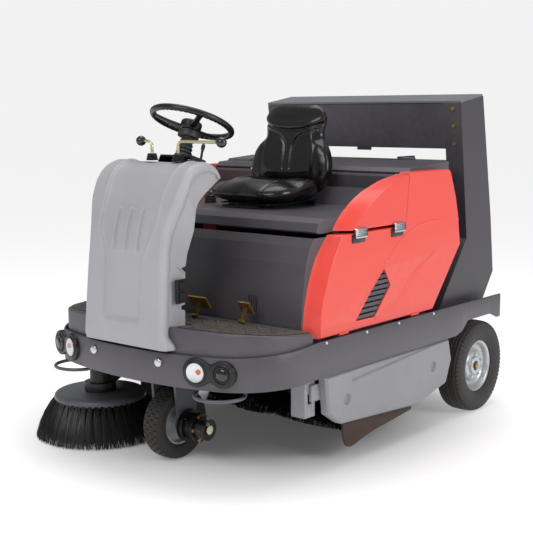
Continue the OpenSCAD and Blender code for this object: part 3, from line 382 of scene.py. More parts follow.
def round_edges(piece: Object, width: float, angle: float = 32.0) -> None:
    """Rounds a piece's sharp edges with a small bevel of width millimetres."""
    bevel = piece.modifiers.new("rounded edges", "BEVEL")
    bevel.width = width * MM
    bevel.segments = 3
    bevel.limit_method = "ANGLE"
    bevel.angle_limit = math.radians(angle)
    bevel.harden_normals = True
    bevel.use_clamp_overlap = True


def dress(node: Object, finish: Material, bevel: float = 0.0) -> None:
    """Gives a CAD node its finish, and rounds its edges where they are real ones."""
    node.data.materials.clear()
    node.data.materials.append(finish)
    if bevel:
        weld = node.modifiers.new("joined edges", "WELD")
        weld.merge_threshold = 2e-5
        round_edges(node, bevel, 30.0)


# ---- finishes ------------------------------------------------------------------


def linear(colour: str, alpha: float = 1.0) -> tuple[float, float, float, float]:
    """An sRGB hex colour as linear RGBA."""
    s = np.array([int(colour[i:i + 2], 16) for i in (1, 3, 5)]) / 255.0
    lin = np.where(s <= 0.04045, s / 12.92, ((s + 0.055) / 1.055)**2.4)
    return (float(lin[0]), float(lin[1]), float(lin[2]), alpha)


def add_node(tree: bpy.types.NodeTree, kind: str, links: dict[Any, Any] | None = None,
             values: dict[Any, Any] | None = None, **settings: Any) -> Node:
    """Adds a shader node with its settings, socket values and incoming links."""
    node = tree.nodes.new(kind)
    for key, value in settings.items():
        setattr(node, key, value)
    for key, value in (values or {}).items():
        node.inputs[key].default_value = value
    for key, source in (links or {}).items():
        tree.links.new(source, node.inputs[key])
    return node


class Grain(Enum):
    """How the surface was made, which gives its fine relief."""

    ORANGE_PEEL = "powder or paint that flowed before it set"
    MOULDED = "fine texture of an eroded mould"
    LEATHERY = "pebbled skin of a foam moulding"
    BRUSHED = "turned or brushed metal"
    FOUNDRY = "sand-cast skin"


@dataclass(frozen=True)
class Finish:
    """A material: base colour that varies a little, gloss, and fine relief.

    Sizes are in millimetres on the real surface. Relief finer than about
    2 mm doesn't show at the render's scale, so grain is drawn at 2 to 4 mm.
    """

    name: str
    slot: str
    colour: str
    shade: str
    rough: float = 0.5
    rough_vary: float = 0.08
    metallic: float = 0.0
    ior: float = 1.5
    coat: float = 0.0
    sheen: float = 0.0
    grain: Grain = Grain.MOULDED
    grain_mm: float = 2.5
    relief_mm: float = 0.05
    blotch_mm: float = 160.0
    wear: str = ""
    dust: str = ""

    def material(self) -> Material:
        """Builds the node tree.

        Returns:
            A material whose colour mixes two shades by soft noise, whose
            edges may wear to a lighter colour, and whose bump is the grain.
        """
        mat = bpy.data.materials.new(self.name)
        mat["slot"] = self.slot
        mat.use_nodes = True
        tree = mat.node_tree
        tree.nodes.clear()
        out = add_node(tree, "ShaderNodeOutputMaterial")
        place = add_node(tree, "ShaderNodeTexCoord").outputs["Object"]
        blotch = add_node(tree, "ShaderNodeTexNoise", {"Vector": place},
                          {"Scale": 1000.0 / self.blotch_mm, "Detail": 5.0, "Roughness": 0.6})
        mix = add_node(tree, "ShaderNodeMix",
                       {0: self.spread(tree, blotch.outputs["Fac"], 0.35, 0.68)},
                       {6: linear(self.colour), 7: linear(self.shade)}, data_type="RGBA")
        colour = mix.outputs[2]
        if self.dust:
            colour = self.dusted(tree, place, colour)
        if self.wear:
            colour = self.worn(tree, place, colour)
        rough = add_node(tree, "ShaderNodeMapRange", {0: blotch.outputs["Fac"]},
                         {1: 0.3, 2: 0.7, 3: self.rough - self.rough_vary,
                          4: self.rough + self.rough_vary})
        values = {"Metallic": self.metallic, "Coat Weight": self.coat, "Coat Roughness": 0.12,
                  "Sheen Weight": self.sheen, "Sheen Roughness": 0.4}
        if not self.metallic:
            values["IOR"] = self.ior
        shader = add_node(tree, "ShaderNodeBsdfPrincipled",
                          {"Base Color": colour, "Roughness": rough.outputs[0],
                           "Normal": self.relief(tree, place)}, values)
        tree.links.new(shader.outputs[0], out.inputs["Surface"])
        return mat

    @staticmethod
    def spread(tree: bpy.types.NodeTree, source: Any, low: float, high: float) -> Any:
        """Stretches a noise's middle range over 0 to 1."""
        return add_node(tree, "ShaderNodeMapRange", {0: source}, {1: low, 2: high}).outputs[0]

    def dusted(self, tree: bpy.types.NodeTree, place: Any, colour: Any) -> Any:
        """Mixes a dust colour in, in fine uneven specks."""
        speck = add_node(tree, "ShaderNodeTexNoise", {"Vector": place},
                         {"Scale": 90.0, "Detail": 8.0, "Roughness": 0.7})
        amount = add_node(tree, "ShaderNodeMapRange", {0: speck.outputs["Fac"]},
                          {1: 0.5, 2: 0.75, 3: 0.0, 4: 0.45})
        return add_node(tree, "ShaderNodeMix", {0: amount.outputs[0], 6: colour},
                        {7: linear(self.dust)}, data_type="RGBA").outputs[2]

    def worn(self, tree: bpy.types.NodeTree, place: Any, colour: Any) -> Any:
        """Lightens sharp edges, broken up by noise, as handling does."""
        edge = add_node(tree, "ShaderNodeNewGeometry").outputs["Pointiness"]
        sharp = add_node(tree, "ShaderNodeMapRange", {0: edge}, {1: 0.53, 2: 0.62, 3: 0.0, 4: 0.55})
        patchy = add_node(tree, "ShaderNodeTexNoise", {"Vector": place},
                          {"Scale": 30.0, "Detail": 4.0})
        both = add_node(tree, "ShaderNodeMath", {0: sharp.outputs[0], 1: patchy.outputs["Fac"]},
                        operation="MULTIPLY")
        return add_node(tree, "ShaderNodeMix", {0: both.outputs[0], 6: colour},
                        {7: linear(self.wear)}, data_type="RGBA").outputs[2]

    def relief(self, tree: bpy.types.NodeTree, place: Any) -> Any:
        """The bump of the grain, by the way the surface was made."""
        scale = 1000.0 / self.grain_mm
        if self.grain in (Grain.MOULDED, Grain.LEATHERY):
            cells = add_node(tree, "ShaderNodeTexVoronoi", {"Vector": place}, {"Scale": scale},
                             feature="SMOOTH_F1")
            height = cells.outputs["Distance"]
        elif self.grain is Grain.BRUSHED:
            drawn = add_node(tree, "ShaderNodeMapping", {"Vector": place},
                             {"Scale": (1.0, 14.0, 14.0)})
            height = add_node(tree, "ShaderNodeTexNoise", {"Vector": drawn.outputs[0]},
                              {"Scale": scale / 4.0, "Detail": 6.0}).outputs["Fac"]
        else:
            rough = 0.75 if self.grain is Grain.FOUNDRY else 0.35
            height = add_node(tree, "ShaderNodeTexNoise", {"Vector": place},
                              {"Scale": scale, "Detail": 3.0, "Roughness": rough}).outputs["Fac"]
        return add_node(tree, "ShaderNodeBump", {"Height": height},
                        {"Strength": 0.6, "Distance": self.relief_mm * MM}).outputs[0]


@dataclass(frozen=True)
class LensFinish:
    """Clear polycarbonate of a lamp lens: it shows the bowl behind it."""

    name: str = "clear moulded polycarbonate"
    slot: str = "clear_lens"
    colour: str = "#f4f6f8"
    flute_mm: float = 7.0

    def material(self) -> Material:
        """Builds a thin glossy clear shell with soft flutes.

        Returns:
            A mix of see-through and gloss, glossier at grazing angles.
        """
        mat = bpy.data.materials.new(self.name)
        mat["slot"] = self.slot
        mat.use_nodes = True
        tree = mat.node_tree
        tree.nodes.clear()
        place = add_node(tree, "ShaderNodeTexCoord").outputs["Object"]
        flutes = add_node(tree, "ShaderNodeTexWave", {"Vector": place},
                          {"Scale": 1000.0 / self.flute_mm / TAU, "Distortion": 0.0})
        bump = add_node(tree, "ShaderNodeBump", {"Height": flutes.outputs["Fac"]},
                        {"Strength": 0.2, "Distance": 0.3 * MM})
        clear = add_node(tree, "ShaderNodeBsdfTransparent", values={"Color": linear(self.colour)})
        gloss = add_node(tree, "ShaderNodeBsdfPrincipled", {"Normal": bump.outputs[0]},
                         {"Base Color": linear("#c9ced4"), "Roughness": 0.06, "IOR": 1.58})
        weight = add_node(tree, "ShaderNodeLayerWeight", {"Normal": bump.outputs[0]},
                          {"Blend": 0.5})
        rim = add_node(tree, "ShaderNodeMapRange", {0: weight.outputs["Facing"]},
                       {1: 0.1, 2: 1.0, 3: 0.05, 4: 0.55})
        mix = add_node(tree, "ShaderNodeMixShader",
                       {0: rim.outputs[0], 1: clear.outputs[0], 2: gloss.outputs[0]})
        out = add_node(tree, "ShaderNodeOutputMaterial", {"Surface": mix.outputs[0]})
        out.label = self.name
        return mat


# Textured powder coat on folded sheet steel: dark warm grey, soft sheen, lighter at worn edges.
POWDER_COAT = Finish("textured grey powder coat on steel", "grey_paint", "#4a474d", "#535056",
                     rough=0.42, grain=Grain.ORANGE_PEEL, grain_mm=3.0, relief_mm=0.10,
                     wear="#8d8c92", blotch_mm=240)
# The same coat, darkened as painted shade, on the portal behind the seat.
PORTAL_COAT_PAINTED_SHADE = Finish("grey powder coat on the portal, darkened as painted shade", "grey_paint", "#3b383e", "#444147",
                   rough=0.42, grain=Grain.ORANGE_PEEL, grain_mm=3.0, relief_mm=0.10,
                   wear="#85848a", blotch_mm=240)
# The same coat on the lid, lightened as painted light where it lies open to the light.
LID_COAT_PAINTED_LIGHT = Finish("grey powder coat on the filter lid", "lid_paint", "#67686f", "#72737a",
                  rough=0.4, grain=Grain.ORANGE_PEEL, grain_mm=3.0, relief_mm=0.10, wear="#9a9aa0")
# Light grey polyethylene, rotation moulded: satin, faintly pebbled, clean.
COWL_PLASTIC = Finish("light grey rotomoulded polyethylene", "light_grey_plastic", "#a3a3a8",
                      "#aaaaaf", rough=0.46, grain_mm=2.4, relief_mm=0.04, blotch_mm=300)
# Red glass-fibre reinforced ABS with an eggshell gloss from a polished mould.
RED_SHELL = Finish("red moulded ABS shell", "red_plastic", "#e33f34", "#e6463a", rough=0.36,
                   rough_vary=0.05, coat=0.25, grain=Grain.ORANGE_PEEL, grain_mm=5.0,
                   relief_mm=0.05, blotch_mm=420, wear="#ee8a78")
# Black ABS of switch plates and lamp bezels, finely eroded.
BLACK_ABS = Finish("black moulded ABS", "black_plastic", "#0b0a0b", "#121113", rough=0.34,
                   grain_mm=2.0, relief_mm=0.03)
# Polished phenolic of the lever balls: deep black and glossy.
BALL_RESIN = Finish("black polished phenolic resin", "black_plastic", "#0b0b0c", "#101012",
                    rough=0.12, rough_vary=0.03, coat=0.6, relief_mm=0.01)
# Black chassis enamel, semi-gloss with road dust.
CHASSIS_ENAMEL = Finish("black chassis enamel on steel", "black_steel", "#252428", "#2f2d31",
                        rough=0.45, grain=Grain.ORANGE_PEEL, grain_mm=4.0, relief_mm=0.08,
                        wear="#6a686c", dust="#4a4440")
# Grey hammered paint on the broom plate, guards and hopper.
GREY_ENAMEL = Finish("grey enamel on steel", "hopper_paint", "#4d4f55", "#5a5c62", rough=0.4,
                     grain=Grain.ORANGE_PEEL, grain_mm=4.0, relief_mm=0.08, wear="#8c8e94")
# Moulded tread mat: matt rubber, brown with dust in its pattern.
MAT_RUBBER = Finish("moulded rubber matting", "tread_rubber", "#2f2723", "#40362f", rough=0.7,
                    grain=Grain.FOUNDRY, grain_mm=3.0, relief_mm=0.15, dust="#8a7c6a", sheen=0.1)
# Vulcanised tyre rubber, matt with a grey bloom.
TYRE_RUBBER = Finish("vulcanised tyre rubber", "tyre_rubber", "#211e1d", "#2b2826", rough=0.68,
                     grain=Grain.FOUNDRY, grain_mm=2.5, relief_mm=0.10, dust="#46403b", sheen=0.15)
# Soft black rubber of bellows and flaps.
BELLOWS_RUBBER = Finish("moulded nitrile rubber", "tyre_rubber", "#151414", "#1d1b1b", rough=0.45,
                        grain_mm=2.0, relief_mm=0.03)
FLAP_RUBBER = Finish("brown cloth-backed rubber sheet", "skirt_plastic", "#3b2c25", "#46362d",
                     rough=0.7, grain=Grain.FOUNDRY, grain_mm=4.0, relief_mm=0.2, dust="#5c5046")
# Silver lacquer on pressed steel wheel discs.
RIM_LACQUER = Finish("silver wheel lacquer on pressed steel", "rim_steel", "#b4b6ba", "#c1c3c6",
                     rough=0.33, metallic=0.55, grain=Grain.ORANGE_PEEL, grain_mm=4.0,
                     relief_mm=0.05, wear="#e6e6e8")
# Zinc-plated steel: bright with a bluish cast.
ZINC = Finish("bright zinc plated steel", "bright_steel", "#cfd2d6", "#b9bcc2", rough=0.25,
              metallic=1.0, grain=Grain.BRUSHED, grain_mm=2.0, relief_mm=0.02)
# Lamp reflector: partly metal, with a white base colour that paints in the bright reflection of
# light in the bowl.
REFLECTOR_PAINTED_SHINE = Finish("vapour-plated lamp reflector with painted reflection", "bright_steel", "#ffffff", "#f2f4f6", rough=0.2,
                rough_vary=0.04, metallic=0.35, coat=0.6, grain=Grain.BRUSHED, relief_mm=0.005)
# Yellow passivated zinc: pale brass colour of pedals, bolts and levers.
YELLOW_ZINC = Finish("yellow passivated zinc on steel", "brass", "#b3935a", "#a5834a", rough=0.32,
                     metallic=0.9, grain=Grain.BRUSHED, grain_mm=3.0, relief_mm=0.03,
                     wear="#d9c79a")
CREAM_ROD = Finish("pale passivated steel rod", "lever_finish", "#d6c9a4", "#c9b98e", rough=0.28,
                   metallic=0.75, grain=Grain.BRUSHED, grain_mm=2.0, relief_mm=0.02)
# Integral-skin polyurethane foam: black, soft glossy highlights, pebbled.
SEAT_SKIN = Finish("black integral-skin polyurethane", "seat_vinyl", "#0a0607", "#100a0c",
                   rough=0.27, rough_vary=0.05, ior=1.48, coat=0.15, grain=Grain.LEATHERY,
                   grain_mm=2.2, relief_mm=0.06)
# Polypropylene broom bristles: near black with a slight shine along each.
BRISTLE = Finish("black polypropylene bristle", "broom_bristle", "#0f0d0c", "#1e1a18", rough=0.42,
                 grain_mm=3.0, relief_mm=0.02, blotch_mm=14)
AMBER = Finish("amber lacquered bulb glass", "clear_lens", "#e8701e", "#f08838", rough=0.15,
               coat=0.5, relief_mm=0.01)
SKIRT_PLASTIC = Finish("silver grey moulded polyethylene", "skirt_plastic", "#85868a", "#919296",
                       rough=0.45, grain_mm=2.6, relief_mm=0.05, blotch_mm=260, wear="#b4b5b8",
                       dust="#7d7a76")
PAPER = Finish("resin-stiffened filter paper", "filter_paper", "#d3c9a6", "#ddd5b8", rough=0.85,
               grain=Grain.FOUNDRY, grain_mm=3.0, relief_mm=0.1)
CASTING = Finish("painted grey iron casting", "engine_paint", "#4b4d52", "#57595e", rough=0.55,
                 grain=Grain.FOUNDRY, grain_mm=4.0, relief_mm=0.25, dust="#3a3632")


# ---- sizes taken from the frame ------------------------------------------------


@dataclass(frozen=True)
class Machine:
    """Main places of the machine in its own millimetres, read from the frame."""

    datum: Datum
    half_width: float
    band_top: float
    platform_front: float
    panel_x: float
    hull_x: float

    @classmethod
    def of_frame(cls) -> "Machine":
        """Reads the sizes from the CAD nodes' boxes."""
        datum = Datum.of_frame()
        band_low, band_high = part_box("bumper_band")
        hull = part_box("seat_box")[1][0]
        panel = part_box("upper_side_panels")[1][0]
        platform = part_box("platform_tub")[1][2]
        return cls(datum, (band_high[0] - band_low[0]) / 2 / MM, band_high[2] / MM,
                   platform / MM - 1.6,
                   (panel - datum.x) / MM, (hull - datum.x) / MM)

    def skin(self) -> Skin:
        """An empty skin in the machine's axes."""
        return Skin(self.datum)

    def plan(self, count: int = 320, rear: float = BAND_REAR_Y) -> Array:
        """Plan line of the bumper from the left rear round to the right rear.

        A bow of large radius joins the sides by a round left corner and, for
        the side broom, a long cut-back curve at the right.
        """
        hw, bow, corner = self.half_width, BOW_RADIUS, 290.0
        cx = hw - corner
        cy = bow - math.sqrt((bow - corner)**2 - cx**2)
        angle = math.degrees(math.atan2(cy - bow, cx))
        left = arc([cx, cy], corner, 0.0, angle, 24)
        rx = hw - 215.0
        ry = bow - math.sqrt(bow**2 - rx**2)
        front = arc([0.0, bow], bow, angle - 1.0, math.degrees(math.atan2(ry - bow, -rx)), 40)
        t = np.linspace(0.0, 1.0, 30)[1:, None]
        start = np.array([-rx, ry])
        bend, end = start + [-115.0, 50.0], start + [-215.0, 390.0]
        right = (1 - t)**2 * start + 2 * t * (1 - t) * bend + t**2 * end
        line = np.concatenate([[[hw, rear]], left, front, right, [[-hw, rear]]])
        return resample(line, count)

    def floor(self, y: Array | float) -> Array:
        """Height of the platform's top, which slopes down to the rear by 5 degrees."""
        return self.platform_front - np.asarray(y) * math.tan(math.radians(5.0))


# ---- front end -----------------------------------------------------------------


@dataclass
class BumperBand:
    """The folded steel band round the machine, with its bolts and rivets."""

    machine: Machine
    wall: float = 8.0
    lip: float = 5.0
    drop: float = 28.0
    step: float = 20.0

    def edge(self, points: Sequence[Sequence[float]], y: Array) -> Array:
        """Height of an edge line at each y."""
        p = np.asarray(points)
        return np.interp(y, p[:, 0], p[:, 1])

    def band(self, finish: Material) -> None:
        """The band: its section, with eased edges, carried round the plan line.

        The lower edge rises in an arch over each rear wheel and dips at the
        front; the upper edge dips at the front.
        """
        top, axle, rear = self.machine.band_top, REAR_HUB[1], BAND_REAR_Y
        low = top - 143.0
        arch = 458.0
        lower = [[-20, low - 13], [30, low - 13], [430, low], [axle - 237, low],
                 [axle - 182, low + 15],
                 [axle - 132, arch], [axle + 84, arch], [axle + 150, low + 31], [rear, low + 31]]
        upper = [[-20, top - self.drop], [30, top - self.drop], [430, top], [rear, top]]
        line = self.machine.plan(700)
        side = sideways(line)
        z0, z1 = self.edge(lower, line[:, 1]), self.edge(upper, line[:, 1])
        e = self.lip
        section = [(0.0, 0.0, e), (0.0, 1.0, -e), (e * 0.3, 1.0, -e * 0.3), (e, 1.0, 0.0),
                   (self.wall, 1.0, 0.0), (self.wall, 0.0, 0.0), (e, 0.0, 0.0),
                   (e * 0.3, 0.0, e * 0.3)]
        rings = [np.column_stack([line + side * inset, z0 + (z1 - z0) * k + dz]) for inset, k,
                 dz in section]
        skin = self.machine.skin()
        skin.grid(np.stack(rings, axis=1), close_v=True)
        skin.lids(np.stack(rings, axis=1))
        skin.build("bumper_band_skin", finish, "chassis", "bumper_band", sharp=40)

    def platform(self, finish: Material) -> None:
        """The platform's curved wall and its sloping top, with a rounded shoulder."""
        line = self.machine.plan(360, PLATFORM_PLAN_Y)
        side = sideways(line)
        keep = line[:, 1] < PLATFORM_REAR_Y
        line, side = line[keep], side[keep]
        for i, sign in ((0, 1.0), (-1, -1.0)):
            line[i] = [sign * self.machine.half_width, PLATFORM_REAR_Y]
        radius = 11.0
        rings = [np.column_stack([line + side * self.step,
                                  np.full(len(line), self.machine.band_top - 42.0)])]
        for a in np.linspace(0.0, 90.0, 6):
            inset = self.step + radius * (1 - math.cos(math.radians(a)))
            p = line + side * inset
            p[:, 1] = np.minimum(p[:, 1], PLATFORM_REAR_Y)
            drop = radius * (1 - math.sin(math.radians(a)))
            rings.append(np.column_stack([p, self.machine.floor(p[:, 1]) - drop]))
        skin = self.machine.skin()
        grid = np.stack(rings)
        skin.grid(grid)
        skin.add(rings[-1], [list(range(len(line)))])
        skin.add(rings[0], [list(range(len(line)))])
        skin.add(np.concatenate([grid[:, 0], grid[::-1, -1]]), [list(range(2 * len(grid)))])
        skin.build("platform_shell", finish, "chassis", "platform_tub", sharp=40)

    def bolts(self, finish: Material) -> None:
        """Two domed cover bolts at the front and four small screws along each side."""
        skin = self.machine.skin()
        for x in (-183.0, 183.0):
            y = BOW_RADIUS - math.sqrt(BOW_RADIUS**2 - x * x)
            profile = [[-13.5, 0.0], [-13.2, 8.0], [-12.0, 14.5], [-9.5, 17.6], [-6.0, 18.0],
                       [0.0, 18.0]]
            skin.lathe(np.array(profile), [x, y + 1.0, 477.0], 1, 40)
        for y in (466.0, 738.0, 973.0, 1250.0):
            for sign in (1.0, -1.0):
                dome = np.array([[0.0, 6.5], [2.0, 6.0], [3.6, 4.0], [4.2, 0.0]])
                dome[:, 0] = sign * (self.machine.half_width + dome[:, 0])
                skin.lathe(dome, [0.0, y, self.machine.band_top - 8.0], 0, 16)
        skin.build("band_bolts", finish, "chassis", "band_screws", sharp=50)


@dataclass
class TreadMat:
    """The rubber mat: a thin sheet with short raised bars turned this way and that."""

    machine: Machine
    thick: float = 4.0
    pitch: float = 50.0
    bar: float = 40.0
    wide: float = 14.0
    high: float = 3.4

    def build(self, finish: Material) -> None:
        """Makes the sheet and its bars."""
        skin = self.machine.skin()
        line = self.machine.plan(260, PLATFORM_PLAN_Y)
        inner = (line + sideways(line) * 34.0)[line[:, 1] < 400.0]
        inner[:, 1] = np.minimum(inner[:, 1], 402.0)
        left = inner[inner[:, 0] > 238.0]
        right = inner[inner[:, 0] < -238.0]
        left = np.concatenate([left, [[238.0, 152.0], [95.0, 152.0], [95.0, 210.0], [0.0, 210.0],
                                      [0.0, 402.0]]])
        right = np.concatenate([right[::-1], [[-238.0, 152.0], [-95.0, 152.0], [-95.0, 210.0],
                                              [0.0, 210.0], [0.0, 402.0]]])
        for half in (left, right):
            half = np.concatenate([[[half[0][0], 402.0]], half])
            skin.prism(half, self.on_floor, [0.2, self.thick - 1.0, self.thick], [0.0, 0.0, 1.0])
        for outline in (left, right):
            self.bars(skin, outline)
        skin.build("tread_mat_rubber", finish, "chassis", "tread_mat", sharp=40)

    def on_floor(self, outline: Array, height: float) -> Array:
        """Points of a plan outline at a height above the sloping platform."""
        return np.column_stack([outline, self.machine.floor(outline[:, 1]) + height])

    def bars(self, skin: Skin, outline: Array) -> None:
        """Places the bars on a square lattice, each second one turned by a right angle."""
        low, high = outline.min(axis=0), outline.max(axis=0)
        nx = int((high[0] - low[0]) / self.pitch * 1.4)
        ny = int((high[1] - low[1]) / self.pitch * 1.4)
        i, j = np.meshgrid(np.arange(nx), np.arange(ny), indexing="ij")
        centre = np.stack([low[0] + i * self.pitch * 0.72, low[1] + j * self.pitch * 0.72],
                          axis=-1).reshape(-1, 2)
        turn = np.where(((i + j) % 2).reshape(-1) == 0, math.radians(45), math.radians(-45))
        inside = inside_polygon(centre, outline, self.bar * 0.5)
        centre, turn = centre[inside], turn[inside]
        long, wide = self.bar / 2, self.wide / 2
        base = np.array([[-long, -wide], [long, -wide], [long, wide], [-long, wide]])
        top = base * [0.86, 0.5]
        local = np.concatenate([base, top])
        c, s = np.cos(turn)[:, None], np.sin(turn)[:, None]
        x = centre[:, :1] + local[None, :, 0] * c - local[None, :, 1] * s
        y = centre[:, 1:] + local[None, :, 0] * s + local[None, :, 1] * c
        h = np.array([self.thick - 0.4] * 4 + [self.thick + self.high] * 4)[None, :]
        points = np.stack([x, y, self.machine.floor(y) + h], axis=-1).reshape(-1, 3)
        quads = np.array([[4, 5, 6, 7], [0, 1, 5, 4], [1, 2, 6, 5], [2, 3, 7, 6], [3, 0, 4, 7],
                          [3, 2, 1, 0]])
        faces = (quads[None] + 8 * np.arange(len(centre))[:, None, None]).reshape(-1, 4)
        skin.add(points, faces.tolist())


def inside_polygon(points: Array, outline: Array, margin: float) -> Array:
    """Which points lie inside an outline and at least margin from its edges.

    Counts the edges a ray to +X crosses, and measures the distance to each
    edge as a whole array.
    """
    a, b = outline, np.roll(outline, -1, axis=0)
    p = points[:, None]
    over = (a[None, :, 1] > p[..., 1]) != (b[None, :, 1] > p[..., 1])
    slope = (b - a)[None, :, 0] / np.where(b[:, 1] == a[:, 1], 1e-9, b[:, 1] - a[:, 1])[None]
    crossed = over & (p[..., 0] < a[None, :, 0] + (p[..., 1] - a[None, :, 1]) * slope)
    d = (b - a)[None]
    t = np.clip(np.sum((p - a[None]) * d, axis=-1) / np.maximum(np.sum(d * d, axis=-1), 1e-9), 0, 1)
    far = np.linalg.norm(p - (a[None] + t[..., None] * d), axis=-1).min(axis=1)
    return (crossed.sum(axis=1) % 2 == 1) & (far > margin)


@dataclass
class FrontCowl:
    """The moulded front cowl: a shell wrapped over the steering column.

    A side-view curve runs from the foot up the front and over the crown. At
    each point of it the section goes across the front, round a corner and
    back along the side to the shell's rear edge.
    """

    machine: Machine
    foot: float = 530.0
    wall: float = 5.0
    corner: float = 24.0

    def front_line(self, count: int) -> Array:
        """The side-view curve from the foot to the rear lip of the crown, as y and z."""
        return spline([[-17, self.foot], [-13, 600], [-4, 720], [7, 850], [20, 950], [38, 1020],
                       [66, 1096], [104, 1170], [140, 1207], [190, 1228], [232, 1230], [272, 1218],
                       [300, 1198], [316, 1174]], count)

    def rear_line(self, count: int) -> Array:
        """The rear edge of the side walls, as y and z, point for point with the front."""
        return spline([[133, self.foot], [133, 600], [136, 701], [146, 820], [156, 912], [161, 975],
                       [166, 1030], [182, 1070], [208, 1095], [238, 1116], [262, 1130], [284, 1144],
                       [300, 1154], [312, 1166]], count)

    def half_width(self, z: Array, run: Array) -> Array:
        """Half the width at each point of the side-view curve."""
        points = [[0, 222], [530, 224], [600, 221], [720, 218], [909, 212], [980, 217], [1040, 232],
                  [1090, 246], [1150, 252], [1230, 246]]
        p = np.array(points, float)
        return np.interp(z, p[:, 0], p[:, 1]) - 6.0 * smooth(0.86, 1.0, run)

    def panel(self, x: Array, z: Array, run: Array) -> Array:
        """Relief of the front: a sunk middle panel and three raised louvres.

        Returns:
            Height above the plain surface, in millimetres.
        """
        half = 100.0 + 50.0 * smooth(850.0, 1010.0, z) + 10.0 * smooth(0.6, 0.8, run)
        soft = np.where(x > 0, 3.0, 9.0)
        across = smooth(half + soft, half - soft, np.abs(x)) * smooth(612.0, 640.0,
                                                                      z) * smooth(0.93, 0.86, run)
        ridge = 3.0 * np.exp(-((np.abs(x) - half - 9.0) / 8.0)**2) * smooth(600.0, 640.0, z)
        height = -9.5 * across + ridge * smooth(0.95, 0.88, run)
        for centre in (-66.0, 0.0, 66.0):
            lean = centre + (z - 960.0) * 0.02
            along = np.clip(z, 902.0, 1048.0)
            far = np.hypot(x - lean, z - along)
            height = height + 15.0 * smooth(17.0, 5.0,
                                            far) * (0.7 + 0.3 * smooth(-14.0, 6.0, x - lean))
        return height

    def plate_x(self) -> float:
        """Outer face of the switch plate, from the centreline."""
        return (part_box("switch_plate")[1][0] - self.machine.datum.x) / MM

    def section(self, count: int = 150) -> Array:
        """The outer surface, as a grid of side-view steps by section steps."""
        front, rear = self.front_line(count), self.rear_line(count)
        d = np.gradient(front, axis=0)
        d /= np.linalg.norm(d, axis=1, keepdims=True)
        out = np.stack([-d[:, 1], d[:, 0]], axis=1)
        out *= np.sign(out[0, 0]) * -1.0
        run = np.linspace(0.0, 1.0, count)
        wide = self.half_width(front[:, 1], run)
        columns = []
        r = self.corner
        flare = 16.0 * smooth(585.0, 535.0, front[:, 1])
        for side in (1.0, -1.0):
            half = wide + (flare if side > 0 else -10.0 * smooth(560.0, 532.0, front[:, 1])**2)
            flat = np.linspace(0.0, 1.0, 82)[1:] if side > 0 else np.linspace(0.0, 1.0, 82)
            cols = []
            for u in flat:
                x = (half - r) * u
                h = self.panel(side * x, front[:, 1], run)
                cols.append(np.column_stack([side * x, front + out * h[:, None]]))
            for a in np.radians(np.linspace(11.0, 90.0, 8)):
                x = half - r + r * math.sin(a)
                cols.append(np.column_stack([side * x, front - out * (r * (1 - math.cos(a)))]))
            edge = front - out * r
            notch = sum(pulse(z, z + 22.0, 4.0, front[:, 1]) for z in (705.0, 800.0, 895.0))
            back = rear - np.column_stack([20.0 * notch * (side > 0), 0.0 * notch])
            for t in np.linspace(0.04, 1.0, 26):
                inset = 9.0 * smooth(0.06, 0.26, t) + 4.0 * t - flare * smooth(0.02, 0.2,
                                                                               t) * (side > 0)
                p = edge + (back - edge) * t
                wall = half - inset
                if side > 0:
                    near = pulse(60.0, 124.0, 12.0, p[:, 0]) * pulse(698.0, 792.0, 12.0, p[:, 1])
                    wall = wall + (np.minimum(wall, self.plate_x() - 4.0) - wall) * near
                cols.append(np.column_stack([side * wall, p]))
            columns.append(np.stack(cols, axis=1))
        return np.concatenate([columns[0][:, ::-1], columns[1]], axis=1)

    def build(self, finish: Material) -> None:
        """Makes the shell with its wall thickness and closed edges."""
        outer = self.section()
        du, dv = np.gradient(outer, axis=0), np.gradient(outer, axis=1)
        normal = np.cross(du, dv)
        normal /= np.maximum(np.linalg.norm(normal, axis=-1, keepdims=True), 1e-9)
        middle = normal[len(normal) // 3, outer.shape[1] // 2]
        inward = normal * (1.0 if middle[1] > 0 else -1.0)
        inner = outer + inward * self.wall
        skin = self.machine.skin()
        loop = np.concatenate([outer, inner[:, ::-1]], axis=1)
        skin.grid(loop, close_v=True)
        for i in (0, -1):
            skin.grid(np.stack([outer[i], inner[i]]))
        skin.build("front_cowl_shell", finish, "chassis", "front_cowl", sharp=48)


